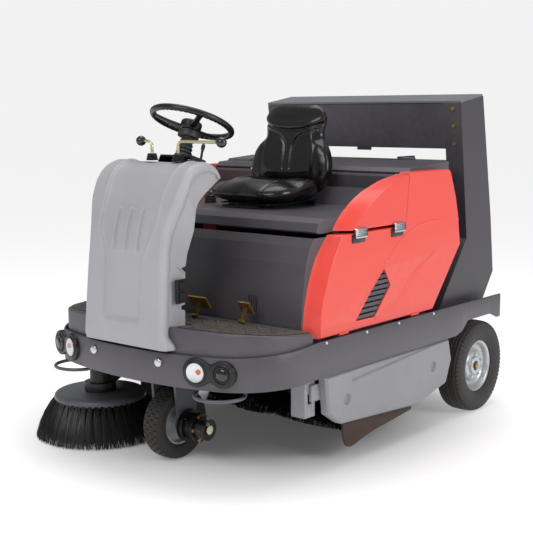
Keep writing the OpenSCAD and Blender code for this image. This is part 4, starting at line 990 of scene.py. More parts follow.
@dataclass
class Lamps:
    """The two lamp pairs let into the band, and the hoops that guard them."""

    machine: Machine
    centre: tuple[float, float, float] = (404.0, 62.0, 459.0)
    turn: float = 16.0
    gap: float = 111.0
    radii: tuple[float, float] = (56.0, 52.0)
    face: float = 18.0

    def turned(self, points: Array) -> Array:
        """From a pair's own axes, with Y into the machine, to the left lamps' place."""
        a = math.radians(self.turn)
        p = np.asarray(points)
        x = p[..., 0] * math.cos(a) - p[..., 1] * math.sin(a)
        y = p[..., 0] * math.sin(a) + p[..., 1] * math.cos(a)
        return np.stack([x + self.centre[0], y + self.centre[1], p[..., 2] + self.centre[2]],
                        axis=-1)

    def outline(self) -> Array:
        """The figure-of-eight outline: two round lobes joined by a soft waist.

        The distance field of both circles, blended smoothly, is followed at
        each angle from the middle by solving for its zero.
        """
        angle = np.linspace(0.0, TAU, 96, endpoint=False)
        reach = np.linspace(20.0, 125.0, 420)
        x = np.cos(angle)[:, None] * reach
        z = np.sin(angle)[:, None] * reach
        a = np.hypot(x + self.gap / 2, z) - self.radii[0]
        b = np.hypot(x - self.gap / 2, z) - self.radii[1]
        k = 16.0
        blend = -k * np.log(np.exp(-a / k) + np.exp(-b / k))
        last = reach[np.argmax(blend > 0.0, axis=1)]
        return np.stack([np.cos(angle) * last, np.sin(angle) * last], axis=1)

    def bezels(self, finish: Material) -> None:
        """Black housings: a rounded plate with a raised ring round each lamp."""
        skin = self.machine.skin()
        lift = lambda ring, y: np.column_stack([ring[:, 0], np.full(len(ring), y), ring[:, 1]])
        skin.prism(self.outline(), lift,
                   [20.0, -self.face + 6, -self.face + 2, -self.face + 0.4, -self.face],
                   [0.0, 0.0, 1.2, 3.2, 6.0])
        for x, r in ((-self.gap / 2, 39.0), (self.gap / 2, 34.0)):
            ring = np.array([[-self.face, r + 7.0], [-self.face - 3.0, r + 6.0],
                             [-self.face - 5.0, r + 3.0],
                             [-self.face - 5.0, r], [-self.face - 2.0, r - 2.0],
                             [-self.face + 1.0, r - 2.0]])
            skin.lathe(ring, [x, 0.0, 0.0], 1, 64)
        self.pair(skin, "lamp_bezels", finish, "lamp_housings", sharp=40)

    def pair(self, skin: Skin, piece: str, finish: Material, *nodes: str, sharp: float) -> None:
        """Turns a lamp piece to face outwards, adds its mirror image and builds both."""
        skin.moved(self.turned)
        skin.mirrored()
        skin.build(piece, finish, "chassis", *nodes, sharp=sharp)

    def bowls(self, reflector_painted_shine: Material, amber: Material, black: Material, clear: Material) -> None:
        """Reflector bowls, the amber bulb, the dark projector eye and the lenses."""
        bowl = self.machine.skin()
        t = np.linspace(0.0, 1.0, 14)
        rim = -self.face - 3.0
        dish = np.stack([rim - 1.5 + 3.6 * (1 - t**2), 0.5 + 36.0 * t], axis=1)
        bowl.lathe(dish, [-self.gap / 2, 0.0, 0.0], 1, 64,
                   lambda a, row: 0.5 * np.sin(24 * a) * (row / 14.0))
        hood = np.array([[rim + 3.0, 30.5], [rim - 1.5, 29.0], [rim - 1.5, 26.5], [rim + 6.0, 24.0],
                         [rim + 13.0, 18.0]])
        # The bowls wear the reflector finish whose white base is a painted reflection.
        self.pair(bowl, "lamp_reflectors", reflector_painted_shine, sharp=60)
        bulb = self.machine.skin()
        a = np.linspace(0.0, math.pi / 2, 10)
        bulb.lathe(np.stack([rim + 1.5 - 7.5 * np.sin(a), 11.0 * np.cos(a)], axis=1),
                   [-self.gap / 2 + 13.0, 0.0, 3.0], 1, 24)
        self.pair(bulb, "lamp_bulbs", amber, sharp=60)
        eye = self.machine.skin()
        eye.lathe(hood, [self.gap / 2, 0.0, 0.0], 1, 64)
        eye.lathe(np.stack([rim + 2.0 - 10.0 * np.sin(a), 25.5 * np.cos(a)], axis=1),
                  [self.gap / 2, 0.0, 0.0], 1, 48)
        self.pair(eye, "lamp_projector_eyes", black, sharp=60)
        lens = self.machine.skin()
        lens.lathe(np.stack([rim + 0.5 - 9.0 * np.sin(a), 36.5 * np.cos(a)], axis=1),
                   [-self.gap / 2, 0.0, 0.0], 1, 64)
        self.pair(lens, "lamp_lenses_clear", clear, "lamp_lenses", sharp=60)

    def guards(self, finish: Material) -> None:
        """A bent round bar below each pair, from post to post round the front."""
        skin = self.machine.skin()
        z = self.machine.band_top - 181.0
        r = 98.0
        hoop = arc([0.0, 0.0], r, 180.0, 360.0, 30)
        points = np.concatenate([[[-r, 14.0, z + 100.0], [-r, 14.0, z + 24.0], [-r, 10.0, z + 6.0]],
                                 np.column_stack([hoop, np.full(30, z)]),
                                 [[r, 10.0, z + 6.0], [r, 14.0, z + 24.0], [r, 14.0, z + 62.0]]])
        a = math.radians(20.0)
        x = points[:, 0] * math.cos(a) - points[:, 1] * math.sin(a) + 404.0
        y = points[:, 0] * math.sin(a) + points[:, 1] * math.cos(a) + 112.0
        skin.tube(spline(np.column_stack([x, y, points[:, 2]]), 90), 7.0, 16)
        skin.mirrored()
        skin.build("lamp_guard_hoops", finish, "chassis", "lamp_guards", sharp=60)


@dataclass
class Controls:
    """Steering wheel, levers with ball knobs, bellows, stalk and brake."""

    machine: Machine
    centre: tuple[float, float] = (403.0, 1378.0)
    tilt: float = 22.8
    rim_radius: float = 164.5
    grip: float = 13.0

    def on_column(self, points: Array) -> Array:
        """From the steering wheel's axes to the machine's."""
        a = math.radians(self.tilt)
        p = np.asarray(points)
        y = p[..., 1] * math.cos(a) + p[..., 2] * math.sin(a)
        z = -p[..., 1] * math.sin(a) + p[..., 2] * math.cos(a)
        return np.stack([p[..., 0], y + self.centre[0], z + self.centre[1]], axis=-1)

    def wheel(self, finish: Material) -> None:
        """The rim is a ring whose inner underside swells between the fingers' places."""
        skin = self.machine.skin()
        a = np.linspace(0.0, TAU, 288, endpoint=False)[:, None]
        b = np.linspace(0.0, TAU, 24, endpoint=False)[None, :]
        under = np.clip(-0.35 * np.sin(b) - np.cos(b) * 0.9 + 0.1, 0.0, 1.0)
        r = self.grip - 2.3 * under * (0.5 + 0.5 * np.cos(a * 48))**1.5
        flat = self.rim_radius + r * np.cos(b)
        skin.grid(np.stack([flat * np.cos(a), flat * np.sin(a), r * np.sin(b) * 1.04], axis=-1),
                  close_u=True, close_v=True)
        for angle in (90.0, 215.0, 325.0):
            d = np.array([math.cos(math.radians(angle)), math.sin(math.radians(angle)), 0.0])
            across = np.array([-d[1], d[0], 0.0])
            t = np.linspace(0.0, 1.0, 20)[:, None]
            line = d * (26.0 + 132.0 * t) + np.array([0, 0, 1.0]) * (-24.0 + 22.0 * t**1.5)
            c = np.linspace(0.0, TAU, 20, endpoint=False)
            wide = (15.0 - 5.0 * t + 5.0 * t**6)[..., None]
            thick = (7.5 - 1.5 * t)[..., None]
            ring = (line[:, None] + across * wide * np.sign(np.cos(c))[None, :, None]
                    * (np.abs(np.cos(c))**0.7)[None, :, None]
                    + np.array([0, 0, 1.0]) * thick * np.sin(c)[None, :, None])
            skin.grid(ring, close_v=True)
            skin.lids(ring)
        hub = [[-40, 0], [-40, 30], [-36, 38], [-22, 43], [-8, 44], [0, 42], [4, 36], [6, 24],
               [8, 10], [8, 0]]
        skin.lathe(np.array(hub, float), [0, 0, 0], 2, 64)
        skin.lathe(np.array([[-66.5, 0], [-66.5, 11], [-38, 11], [-38, 0]], float), [0, 0, 0], 2,
                   32)
        skin.moved(self.on_column)
        skin.build("steering_wheel_rim", finish, "steering_wheel", "steering_wheel", sharp=50)

    def lever(self, name: str, base: Sequence[float], reach: float, rod: Material,
              ball: Material) -> None:
        """A rod that rises, bends over to one side and ends in a ball knob."""
        x, y, z = base
        s = math.copysign(1.0, reach)
        skin = self.machine.skin()
        line = spline([[x, y, z - 4], [x, y, z + 12], [x + s * 2, y, z + 28],
                       [x + s * 12, y, z + 39],
                       [x + s * 28, y, z + 42], [x + reach * 0.6, y, z + 42],
                       [x + reach, y, z + 42]], 70)
        skin.tube(line, 6.2, 20)
        skin.build(f"{name}_rod", rod, name, name, sharp=50)
        knob = self.machine.skin()
        a = np.linspace(0.0, math.pi * 0.93, 26)
        profile = np.stack([20.5 * np.cos(a), 20.5 * np.sin(a)], axis=1)
        collar = np.array([[-24.0, 8.5], [-24.0, 0.0]])
        profile = np.concatenate([profile, collar])
        profile[:, 0] *= s
        knob.lathe(profile, [x + reach, y, z + 42], 0, 40)
        knob.build(f"{name}_knob", ball, name, sharp=50)

    def bellows(self, finish: Material) -> None:
        """Rubber boots: rings that narrow to the top, as one rippled turned shape."""
        skin = self.machine.skin()
        boots = [(x, LEVER_Y, 1230.0, 27.7, 27.0) for _, x, _ in LEVERS]
        for x, y, z, h, r in (*boots, (-300.0, 830.0, 1006.0, 37.7, 31.0)):
            t = np.linspace(0.0, 1.0, 49)
            ripple = r - 7.0 * t - 4.5 * (0.5 + 0.5 * np.cos(t * TAU * 3.5 + math.pi))**0.8
            profile = np.column_stack([t * h, ripple])
            profile = np.concatenate([[[0.0, 0.0]], profile, [[h, 0.0]]])
            skin.lathe(profile, [x, y, z], 2, 48)
        skin.build("lever_bellows", finish, "chassis", "lever_boots", sharp=60)

    def stalk(self, finish: Material) -> None:
        """The turn signal stalk: a tapered arm with a rounded tip."""
        skin = self.machine.skin()
        x, y, z = 178.0, 262.0, 1228.2
        t = np.linspace(0.0, 1.0, 24)
        line = np.stack([x + 6 * t**2, y + 14 * t, z + 70 * t], axis=1)
        skin.tube(line, 5.0 + 2.6 * smooth(0.55, 0.75, t) - 5.6 * smooth(0.93, 1.0, t), 16)
        skin.lathe(np.array([[-9.0, 0.0], [-9.0, 9.0], [9.0, 9.0], [9.0, 0.0]]), [x, y, z], 0, 32)
        skin.build("column_stalk_arm", finish, "column_stalk", "column_stalk", sharp=50)

    def brake(self, rod: Material, grip: Material) -> None:
        """The parking brake: a pale rod that leans forward, with a ribbed black grip."""
        skin = self.machine.skin()
        base = np.array([-300.0, 830.0, 1052.0])
        a = math.radians(62.0)
        d = np.array([0.0, -math.sin(a), math.cos(a)])
        skin.tube(base + d * np.linspace(0.0, 150.0, 30)[:, None], 7.0, 20)
        skin.ball(base, 8.5)
        skin.build("brake_lever_rod", rod, "brake_lever", "brake_lever", sharp=50)
        handle = self.machine.skin()
        t = np.linspace(0.0, 1.0, 60)
        ribs = 12.0 + 1.6 * np.sin(t * TAU * 7) - 12.0 * smooth(0.95, 1.0, t)
        handle.tube(base + d * (72.0 + 92.0 * t)[:, None], ribs, 24)
        handle.build("brake_lever_grip", grip, "brake_lever", sharp=60)


# ---- seat ----------------------------------------------------------------------


@dataclass
class Seat:
    """The moulded seat: a cushion with bolsters and a back that narrows to a head pad."""

    machine: Machine
    voxel: float = 5.0
    pressure: float = 4.0
    swell: float = 22.0

    def cushion_shape(self) -> Skin:
        """A crowned pad: a rounded square in plan, its top dished between raised sides.

        Rows run from the middle of the base up the sides to the middle of
        the top; the height of each row's rim follows the seat's profile.
        """
        skin = self.machine.skin()
        a = np.linspace(0.0, TAU, 120, endpoint=False)
        c, s = np.cos(a), np.sin(a)
        edge = (np.abs(c)**3.4 + np.abs(s)**3.4)**(-1 / 3.4)
        x, y = edge * c, edge * s
        y = np.where(y > 0.86, 0.86 + (y - 0.86) * 0.35, y)
        half_x, half_y, centre_y, base = 228.0, 203.0, 817.0, 1032.0
        rows = []
        for level, reach in ((0.0, 0.0), (0.0, 0.72), (0.0, 0.84), (0.12, 0.93), (0.35, 0.975),
                             (0.6, 0.97),
                             (0.82, 0.93), (0.95, 0.85), (1.0, 0.7), (1.0, 0.5), (1.0, 0.3),
                             (1.0, 0.0)):
            px, py = x * reach, y * reach
            front = smooth(-0.35, -1.0, py)
            rise = 66.0 + 34.0 * smooth(0.35, 0.95, np.abs(px)) * smooth(-0.55, 0.25, py)
            rise = rise + 13.0 * np.exp(-((py + 0.58) / 0.3)**2) - 20.0 * front
            rise = rise - 9.0 * np.exp(-(px / 0.5)**2) * smooth(0.9, 0.0, py) * smooth(-0.4, 0.0,
                                                                                       py)
            rows.append(np.column_stack([px * half_x, centre_y + py * half_y, base + rise * level]))
        skin.grid(np.stack(rows), close_v=True)
        return skin

    def back_shape(self) -> Skin:
        """A padded back: wide rounded wings below, a waist, and a head pad above.

        Each height has a closed section: a superellipse whose half width,
        depth and set-back follow smooth curves of height, its front dished.
        """
        skin = self.machine.skin()
        z = np.array([1052, 1058, 1070, 1090, 1120, 1155, 1195, 1235, 1270, 1300, 1325, 1350, 1380,
                      1405,
                      1426, 1442, 1452, 1457], float)
        table = np.array([
            [1052, 140, 26, 1064], [1070, 178, 44, 1062], [1100, 206, 52, 1062],
            [1140, 224, 54, 1066],
            [1180, 227, 54, 1073], [1230, 216, 52, 1084], [1280, 195, 48, 1096],
            [1320, 180, 45, 1104],
            [1360, 177, 44, 1111], [1405, 173, 42, 1118], [1438, 156, 32, 1124],
            [1457, 112, 12, 1127]])
        half, depth, back = (np.interp(z, table[:, 0], table[:, k]) for k in (1, 2, 3))
        a = np.linspace(0.0, TAU, 112, endpoint=False)
        c, s = np.cos(a), np.sin(a)
        u = np.sign(c) * np.abs(c)**0.62
        v = np.sign(s) * np.abs(s)**0.75
        rows = []
        for k, zz in enumerate(z):
            wing = 26.0 * smooth(0.45, 1.0,
                                 np.abs(u)) * float(pulse(1100.0, 1250.0, 70.0, np.array(zz)))
            dish = 10.0 * (1 - u**2) * (v < 0) * float(pulse(1120.0, 1270.0, 60.0, np.array(zz)))
            rows.append(np.column_stack([u * half[k],
                                         back[k] + v * depth[k] - wing * (v <= 0.2) + dish,
                                         np.full(len(a), zz)]))
        grid = np.stack(rows)
        skin.grid(grid, close_v=True)
        skin.lids(grid)
        return skin

    def swollen(self, skin: Skin, name: str) -> tuple[Array, list[list[int]]]:
        """Blows a shape up a little, as foam fills its skin.

        The mesh is remeshed to even voxels, a cloth with inside pressure and
        no gravity is stepped for 20 frames, and no point may move further
        than the cap.

        Args:
            skin: The shape to swell.
            name: Name of the temporary object.

        Returns:
            Points in metres and faces.
        """
        mesh = bpy.data.meshes.new(name)
        mesh.from_pydata(self.machine.datum.place(np.concatenate(skin.points)).tolist(), [],
                         skin.faces)
        bm = bmesh.new()
        bm.from_mesh(mesh)
        bmesh.ops.remove_doubles(bm, verts=bm.verts, dist=1e-4)
        bmesh.ops.recalc_face_normals(bm, faces=bm.faces)
        bm.to_mesh(mesh)
        bm.free()
        blank = bpy.data.objects.new(name, mesh)
        scene = bpy.context.scene
        scene.collection.objects.link(blank)
        remesh = blank.modifiers.new("even voxels", "REMESH")
        remesh.mode = "VOXEL"
        remesh.voxel_size = self.voxel * MM
        soften = blank.modifiers.new("soften", "SMOOTH")
        soften.iterations = 12
        graph = bpy.context.evaluated_depsgraph_get()
        baked = bpy.data.meshes.new_from_object(blank.evaluated_get(graph))
        blank.modifiers.clear()
        blank.data = baked
        points, faces = mesh_arrays(baked)
        cloth = blank.modifiers.new("foam", "CLOTH")
        cloth.settings.use_pressure = True
        cloth.settings.uniform_pressure_force = self.pressure
        cloth.settings.tension_stiffness = 30.0
        cloth.settings.compression_stiffness = 30.0
        cloth.settings.bending_stiffness = 4.0
        cloth.settings.effector_weights.gravity = 0.0
        cloth.collision_settings.use_collision = False
        for step in range(1, 21):
            scene.frame_set(step)
        filled, _ = mesh_arrays(blank.evaluated_get(bpy.context.evaluated_depsgraph_get()).data)
        scene.frame_set(1)
        shift = relaxed(filled - points, faces, 60)
        far = np.linalg.norm(shift, axis=1, keepdims=True)
        points = points + shift * np.minimum(1.0, self.swell * MM / np.maximum(far, 1e-9))
        bpy.data.objects.remove(blank, do_unlink=True)
        return points, faces

    def piece(self, name: str, points: Array, faces: list[list[int]], finish: Material, node: str,
              levels: int = 1) -> Object:
        """Makes the padded piece, with one subdivision, from its shaped points."""
        mesh = bpy.data.meshes.new(name)
        mesh.from_pydata(points.tolist(), [], faces)
        mesh.shade_smooth()
        mesh.materials.append(finish)
        pad = bpy.data.objects.new(name, mesh)
        bpy.context.scene.collection.objects.link(pad)
        if levels:
            finer = pad.modifiers.new("finer skin", "SUBSURF")
            finer.levels = finer.render_levels = levels
        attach(pad, "seat")
        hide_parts(node)
        LOG.info("%s: %d faces", name, len(faces))
        return pad

    def fitted(self, points: Array, node: str, spare: float = 6.0) -> Array:
        """Scales the points gently so that they fill the CAD solid's box and no more."""
        low, high = (np.array(c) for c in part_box(node))
        pl, ph = points.min(axis=0), points.max(axis=0)
        room = spare * MM
        scale = np.minimum(1.0, (high - low + 2 * room) / (ph - pl))
        middle = (pl + ph) / 2
        target = np.clip(middle, low - room + (ph - pl) * scale / 2,
                         high + room - (ph - pl) * scale / 2)
        return (points - middle) * scale + target

    def cushion(self, finish: Material) -> None:
        """The seat cushion, with a sewn-look groove where pad and bolsters meet."""
        points, faces = self.swollen(self.cushion_shape(), "cushion_blank")
        points = self.fitted(points, "seat_cushion", 4.0)
        p = points / MM
        x, y, z = p[:, 0] - self.machine.datum.x / MM, p[:, 1] - self.machine.datum.y / MM, p[:, 2]
        top = smooth(1062.0, 1080.0, z)
        side = np.abs(x) - (118.0 + 10.0 * smooth(700.0, 900.0, y))
        groove = 2.6 * np.exp(-(side / 4.5)**2) * pulse(700.0, 960.0, 40.0, y) * top
        rim = 3.2 * np.exp(-((z - 1050.0) / 4.5)**2)
        normal = vertex_normals(points, faces)
        points = points - normal * ((groove + rim * 0.6) * MM)[:, None]
        self.piece("seat_cushion_pad", points, faces, finish, "seat_cushion")

    def back(self, finish: Material) -> None:
        """The backrest, with its head-pad groove and the two creases down the middle."""
        points, faces = self.swollen(self.back_shape(), "back_blank")
        points = self.fitted(points, "seat_backrest", 6.0)
        p = points / MM
        x, z = p[:, 0] - self.machine.datum.x / MM, p[:, 2]
        normal = vertex_normals(points, faces)
        front = smooth(-0.1, -0.5, normal[:, 1])
        here = np.column_stack([np.abs(x), z])
        seam = np.array([[0, 1336], [60, 1340], [110, 1351], [168, 1368]], float)
        head = 8.0 * np.exp(-(far_from(here, seam) / 5.0)**2)
        head = head - 4.0 * np.exp(-((far_from(here, seam + [0.0, 22.0])) / 16.0)**2)
        shoulder = spline([[142, 1340], [95, 1328], [55, 1310], [30, 1284], [21, 1250], [20, 1165]],
                          40)
        crease = 6.0 * np.exp(-(far_from(here, shoulder) / 6.0)**2)
        bolster = spline([[150, 1300], [148, 1240], [152, 1180], [146, 1110]], 24)
        wing = 3.0 * np.exp(-(far_from(here, bolster) / 12.0)**2)
        cut = (head + crease + wing) * front
        points = points - normal * (cut * MM)[:, None]
        self.piece("seat_back_pad", points, faces, finish, "seat_backrest")


def mesh_arrays(mesh: bpy.types.Mesh) -> tuple[Array, list[list[int]]]:
    """A mesh's points as an array and its faces as lists."""
    points = np.empty(len(mesh.vertices) * 3)
    mesh.vertices.foreach_get("co", points)
    return points.reshape(-1, 3), [list(f.vertices) for f in mesh.polygons]


def relaxed(values: Array, faces: list[list[int]], times: int) -> Array:
    """Evens out values over a mesh: each point takes half its neighbours' mean, many times."""
    ends = np.array([(f[k], f[(k + 1) % len(f)]) for f in faces for k in range(len(f))])
    a, b = np.concatenate([ends[:, 0], ends[:, 1]]), np.concatenate([ends[:, 1], ends[:, 0]])
    share = np.maximum(np.bincount(a, minlength=len(values)), 1)[:, None]
    for _ in range(times):
        total = np.stack([np.bincount(a, values[b, k], len(values)) for k in range(3)], axis=1)
        values = 0.5 * values + 0.5 * total / share
    return values


def far_from(points: Array, line: Array) -> Array:
    """Distance of each point from a polyline, as the least over its straight parts."""
    a, d = line[None, :-1], (line[1:] - line[:-1])[None]
    t = np.clip(np.sum((points[:, None] - a) * d, axis=-1) / np.sum(d * d, axis=-1), 0.0, 1.0)
    return np.linalg.norm(points[:, None] - (a + t[..., None] * d), axis=-1).min(axis=1)


def vertex_normals(points: Array, faces: list[list[int]]) -> Array:
    """Unit normals at the points of a mesh of quads and triangles."""
    quads = np.array([f if len(f) == 4 else f + f[-1:] for f in faces])
    across = np.cross(points[quads[:, 2]] - points[quads[:, 0]],
                      points[quads[:, 3]] - points[quads[:, 1]])
    total = np.zeros_like(points)
    for k in range(4):
        np.add.at(total, quads[:, k], across)
    return total / np.maximum(np.linalg.norm(total, axis=1, keepdims=True), 1e-12)


# ---- red panels ----------------------------------------------------------------


@dataclass
class RedPanels:
    """The red lids and doors: flat faces with a wide bevel along their front edge."""

    machine: Machine
    stand_off: float = 0.5

    def bevelled(self, skin: Skin, inner: Array, outer: Array, rest: Array,
                 hole: Array | None = None) -> None:
        """A closed panel between its outer plane and the hull.

        Args:
            skin: Takes the panel.
            inner: Front edge of the flat face, as y and z.
            outer: Where the bevel meets the hull, point for point with inner.
            rest: The other edges, common to both planes.
            hole: Outline of an opening through the panel, if any.
        """
        face, back = self.machine.panel_x, self.machine.hull_x + self.stand_off
        top = np.concatenate([inner, rest])
        foot = np.concatenate([outer, rest])
        levels = [(0.0, 3.2), (0.8, 1.2), (2.6, 0.0)]
        closed = np.concatenate([top[-1:], top, top[:1]])
        side = sideways(closed)[1:-1]
        if np.sum(top[:, 0] * np.roll(top[:, 1], -1) - top[:, 1] * np.roll(top[:, 0], -1)) < 0:
            side = -side
        rings = [sidelong(top - side * inset, face - depth) for depth, inset in levels]
        rings += [sidelong(top + (foot - top) * k, face - 2.6 - (face - 2.6 - back) * k)
                  for k in (0.25, 0.5, 0.75, 1.0)]
        skin.grid(np.stack(rings), close_v=True)
        self.flat(skin, rings[0], None if hole is None else sidelong(hole, face))
        self.flat(skin, rings[-1], None if hole is None else sidelong(hole, back))
        if hole is not None:
            skin.grid(np.stack([sidelong(hole, face), sidelong(hole, back)]), close_v=True)

    @staticmethod
    def flat(skin: Skin, ring: Array, hole: Array | None) -> None:
        """A flat face inside a ring, with an opening cut by triangles."""
        loops = [ring] if hole is None else [ring, hole]
        faces = tessellate_polygon([[Vector(p) for p in loop] for loop in loops])
        skin.add(np.concatenate(loops), [list(f) for f in faces])

    def ridge(self, skin: Skin, points: Sequence[Sequence[float]], wide: float,
              high: float) -> None:
        """A low rounded rib on the face along a curve: the crease of the moulding."""
        line = spline(points, 60)
        side = sideways(line)
        t = np.linspace(-1.0, 1.0, 9)
        taper = smooth(0.0, 0.12, np.linspace(0, 1, 60)) * smooth(1.0, 0.8, np.linspace(0, 1, 60))
        rows = [np.column_stack([self.machine.panel_x - 0.4 + high * taper * (1 - k * k),
                                 line + side * wide * k]) for k in t]
        rows.append(np.column_stack([np.full(60, self.machine.panel_x - 0.8), line]))
        skin.grid(np.stack(rows, axis=1), close_v=True)

    def lids(self, finish: Material) -> None:
        """The fixed upper panels on both sides."""
        inner = spline([[661, 953], [715, 996], [784, 1043], [854, 1083], [927, 1112], [1001, 1132],
                        [1070, 1150]], 40)
        outer = spline([[603, 953], [629, 985], [672, 1023], [735, 1064], [799, 1094], [870, 1117],
                        [942, 1136], [1062, 1156]], 40)
        rest = resample([[1072, 1143], [1062, 1060], [1046, 953]], 8)
        skin = self.machine.skin()
        self.bevelled(skin, inner, outer, rest)
        skin.mirrored()
        skin.build("red_upper_panels", finish, "chassis", "upper_side_panels", sharp=18)

    def door(self, side: str, finish: Material) -> None:
        """A lower door with its vent opening, crease, embossed arcs and hinge barrels."""
        m = self.machine
        end = 1488.0
        inner = spline([[453, 551], [459, 662], [484, 736], [523, 829], [581, 921], [601, 941]], 40)
        outer = spline([[411, 551], [424, 660], [449, 754], [487, 840], [531, 898], [572, 941]], 40)
        rest = np.array([[1046, 941], [1062, 1050], [1076, 1146], [1082, 1158], [1096, 1163],
                         [end - 100, 1163], [end - 84, 1157], [end - 72, 1138], [end - 30, 1036],
                         [end - 2, 934], [end - 2, 917], [end + 14, 820], [end - 217, 551]], float)
        vent = np.array([[882, 785], [935, 703], [820, 584], [685, 586]], float)
        skin = m.skin()
        self.bevelled(skin, inner, outer, rest, rounded(vent, 7.0, 4))
        self.ridge(skin, [[1400, 925], [1280, 945], [1130, 930], [1010, 880], [905, 800],
                          [800, 705],
                          [712, 640], [650, 575]], 5.0, 1.6)
        for k in range(5):
            self.ridge(skin, [[985 + 34 * k, 590 + 20 * k], [1030 + 34 * k, 665 + 18 * k],
                              [1110 + 36 * k, 735 + 14 * k], [1215 + 30 * k, 772 + 14 * k]], 4.0,
                       0.9)
        for y in (600.0, 1120.0):
            barrel = np.array([[y - 30, 0], [y - 30, 5.4], [y - 29.4, 6], [y + 29.4, 6],
                               [y + 30, 5.4],
                               [y + 30, 0]], float)
            skin.lathe(barrel, [m.panel_x + 1, 0, m.band_top + 6.3], 1, 24)
        skin.on_side(side)
        skin.build(f"red_door_{side}", finish, f"door_{side}", f"side_door_{side}", sharp=18)

    def trim(self, side: str, brass: Material, black: Material) -> None:
        """Small brass screws round the vent, and the black plates below the latches."""
        sign = 1.0 if side == "left" else -1.0
        skin = self.machine.skin()
        for y, z in ((900, 805), (761, 700), (824, 575), (966, 690), (668, 566)):
            head = np.array([[-1.0, 5.0], [1.6, 4.8], [2.8, 3.4], [3.2, 0.0]])
            head[:, 0] = sign * (self.machine.panel_x + head[:, 0])
            skin.lathe(head, [0.0, y, z], 0, 16)
        skin.build(f"vent_screws_{side}", brass, f"door_{side}", sharp=50)
        plate = self.machine.skin()
        x = self.machine.panel_x
        for _, y in LATCHES:
            outline = rounded([[y - 52, 902], [y + 36, 902], [y + 36, 939], [y - 52, 939]], 5.0)
            plate.prism(outline, sidelong, [x - 1.0, x + 3.0, x + 3.6], [0.0, 0.0, 0.8])
        plate.on_side(side)
        plate.build(f"latch_plates_{side}", black, f"door_{side}", sharp=40)

    def latch(self, side: str, place: str, y: float, bright: Material) -> None:
        """A toggle latch: a ribbed roller on its pin with a strap over the split."""
        x, z = self.machine.panel_x, 926.0
        skin = self.machine.skin()
        barrel = np.array([[y - 37, 0.0], [y - 37, 5.6], [y - 36, 6.6], [y + 36, 6.6],
                           [y + 37, 5.6],
                           [y + 37, 0.0]], float)
        skin.lathe(barrel, [x + 8.3, 0.0, z], 1, 24)
        t = np.linspace(0.0, 1.0, 61)
        face = 12.6 + 1.3 * np.sin(t * TAU * 6) - 5.0 * smooth(0.93, 1.0, t) - 3.0 * smooth(0.06,
                                                                                            0.0, t)
        outer = np.column_stack([x + face, z - 6.0 + 40.0 * t])
        inner = np.array([[x + 3.6, z + 34.0], [x + 2.6, z + 28.0], [x + 4.4, z + 24.0],
                          [x + 4.4, z - 6.0]])
        lift = lambda ring, at: np.column_stack([ring[:, 0], np.full(len(ring), at), ring[:, 1]])
        skin.prism(np.concatenate([outer, inner]), lift, [y - 41, y - 39, y + 39, y + 41],
                   [1.6, 0.0, 0.0, 1.6])
        skin.on_side(side)
        name = f"latch_{side}_{place}"
        skin.build(f"{name}_toggle", bright, name, name, sharp=40)


# ---- wheels --------------------------------------------------------------------


class Tread(Enum):
    """Tyre patterns."""

    BLOCKS = "rows of oblong blocks"
    RIBS = "ribs with notched shoulders"


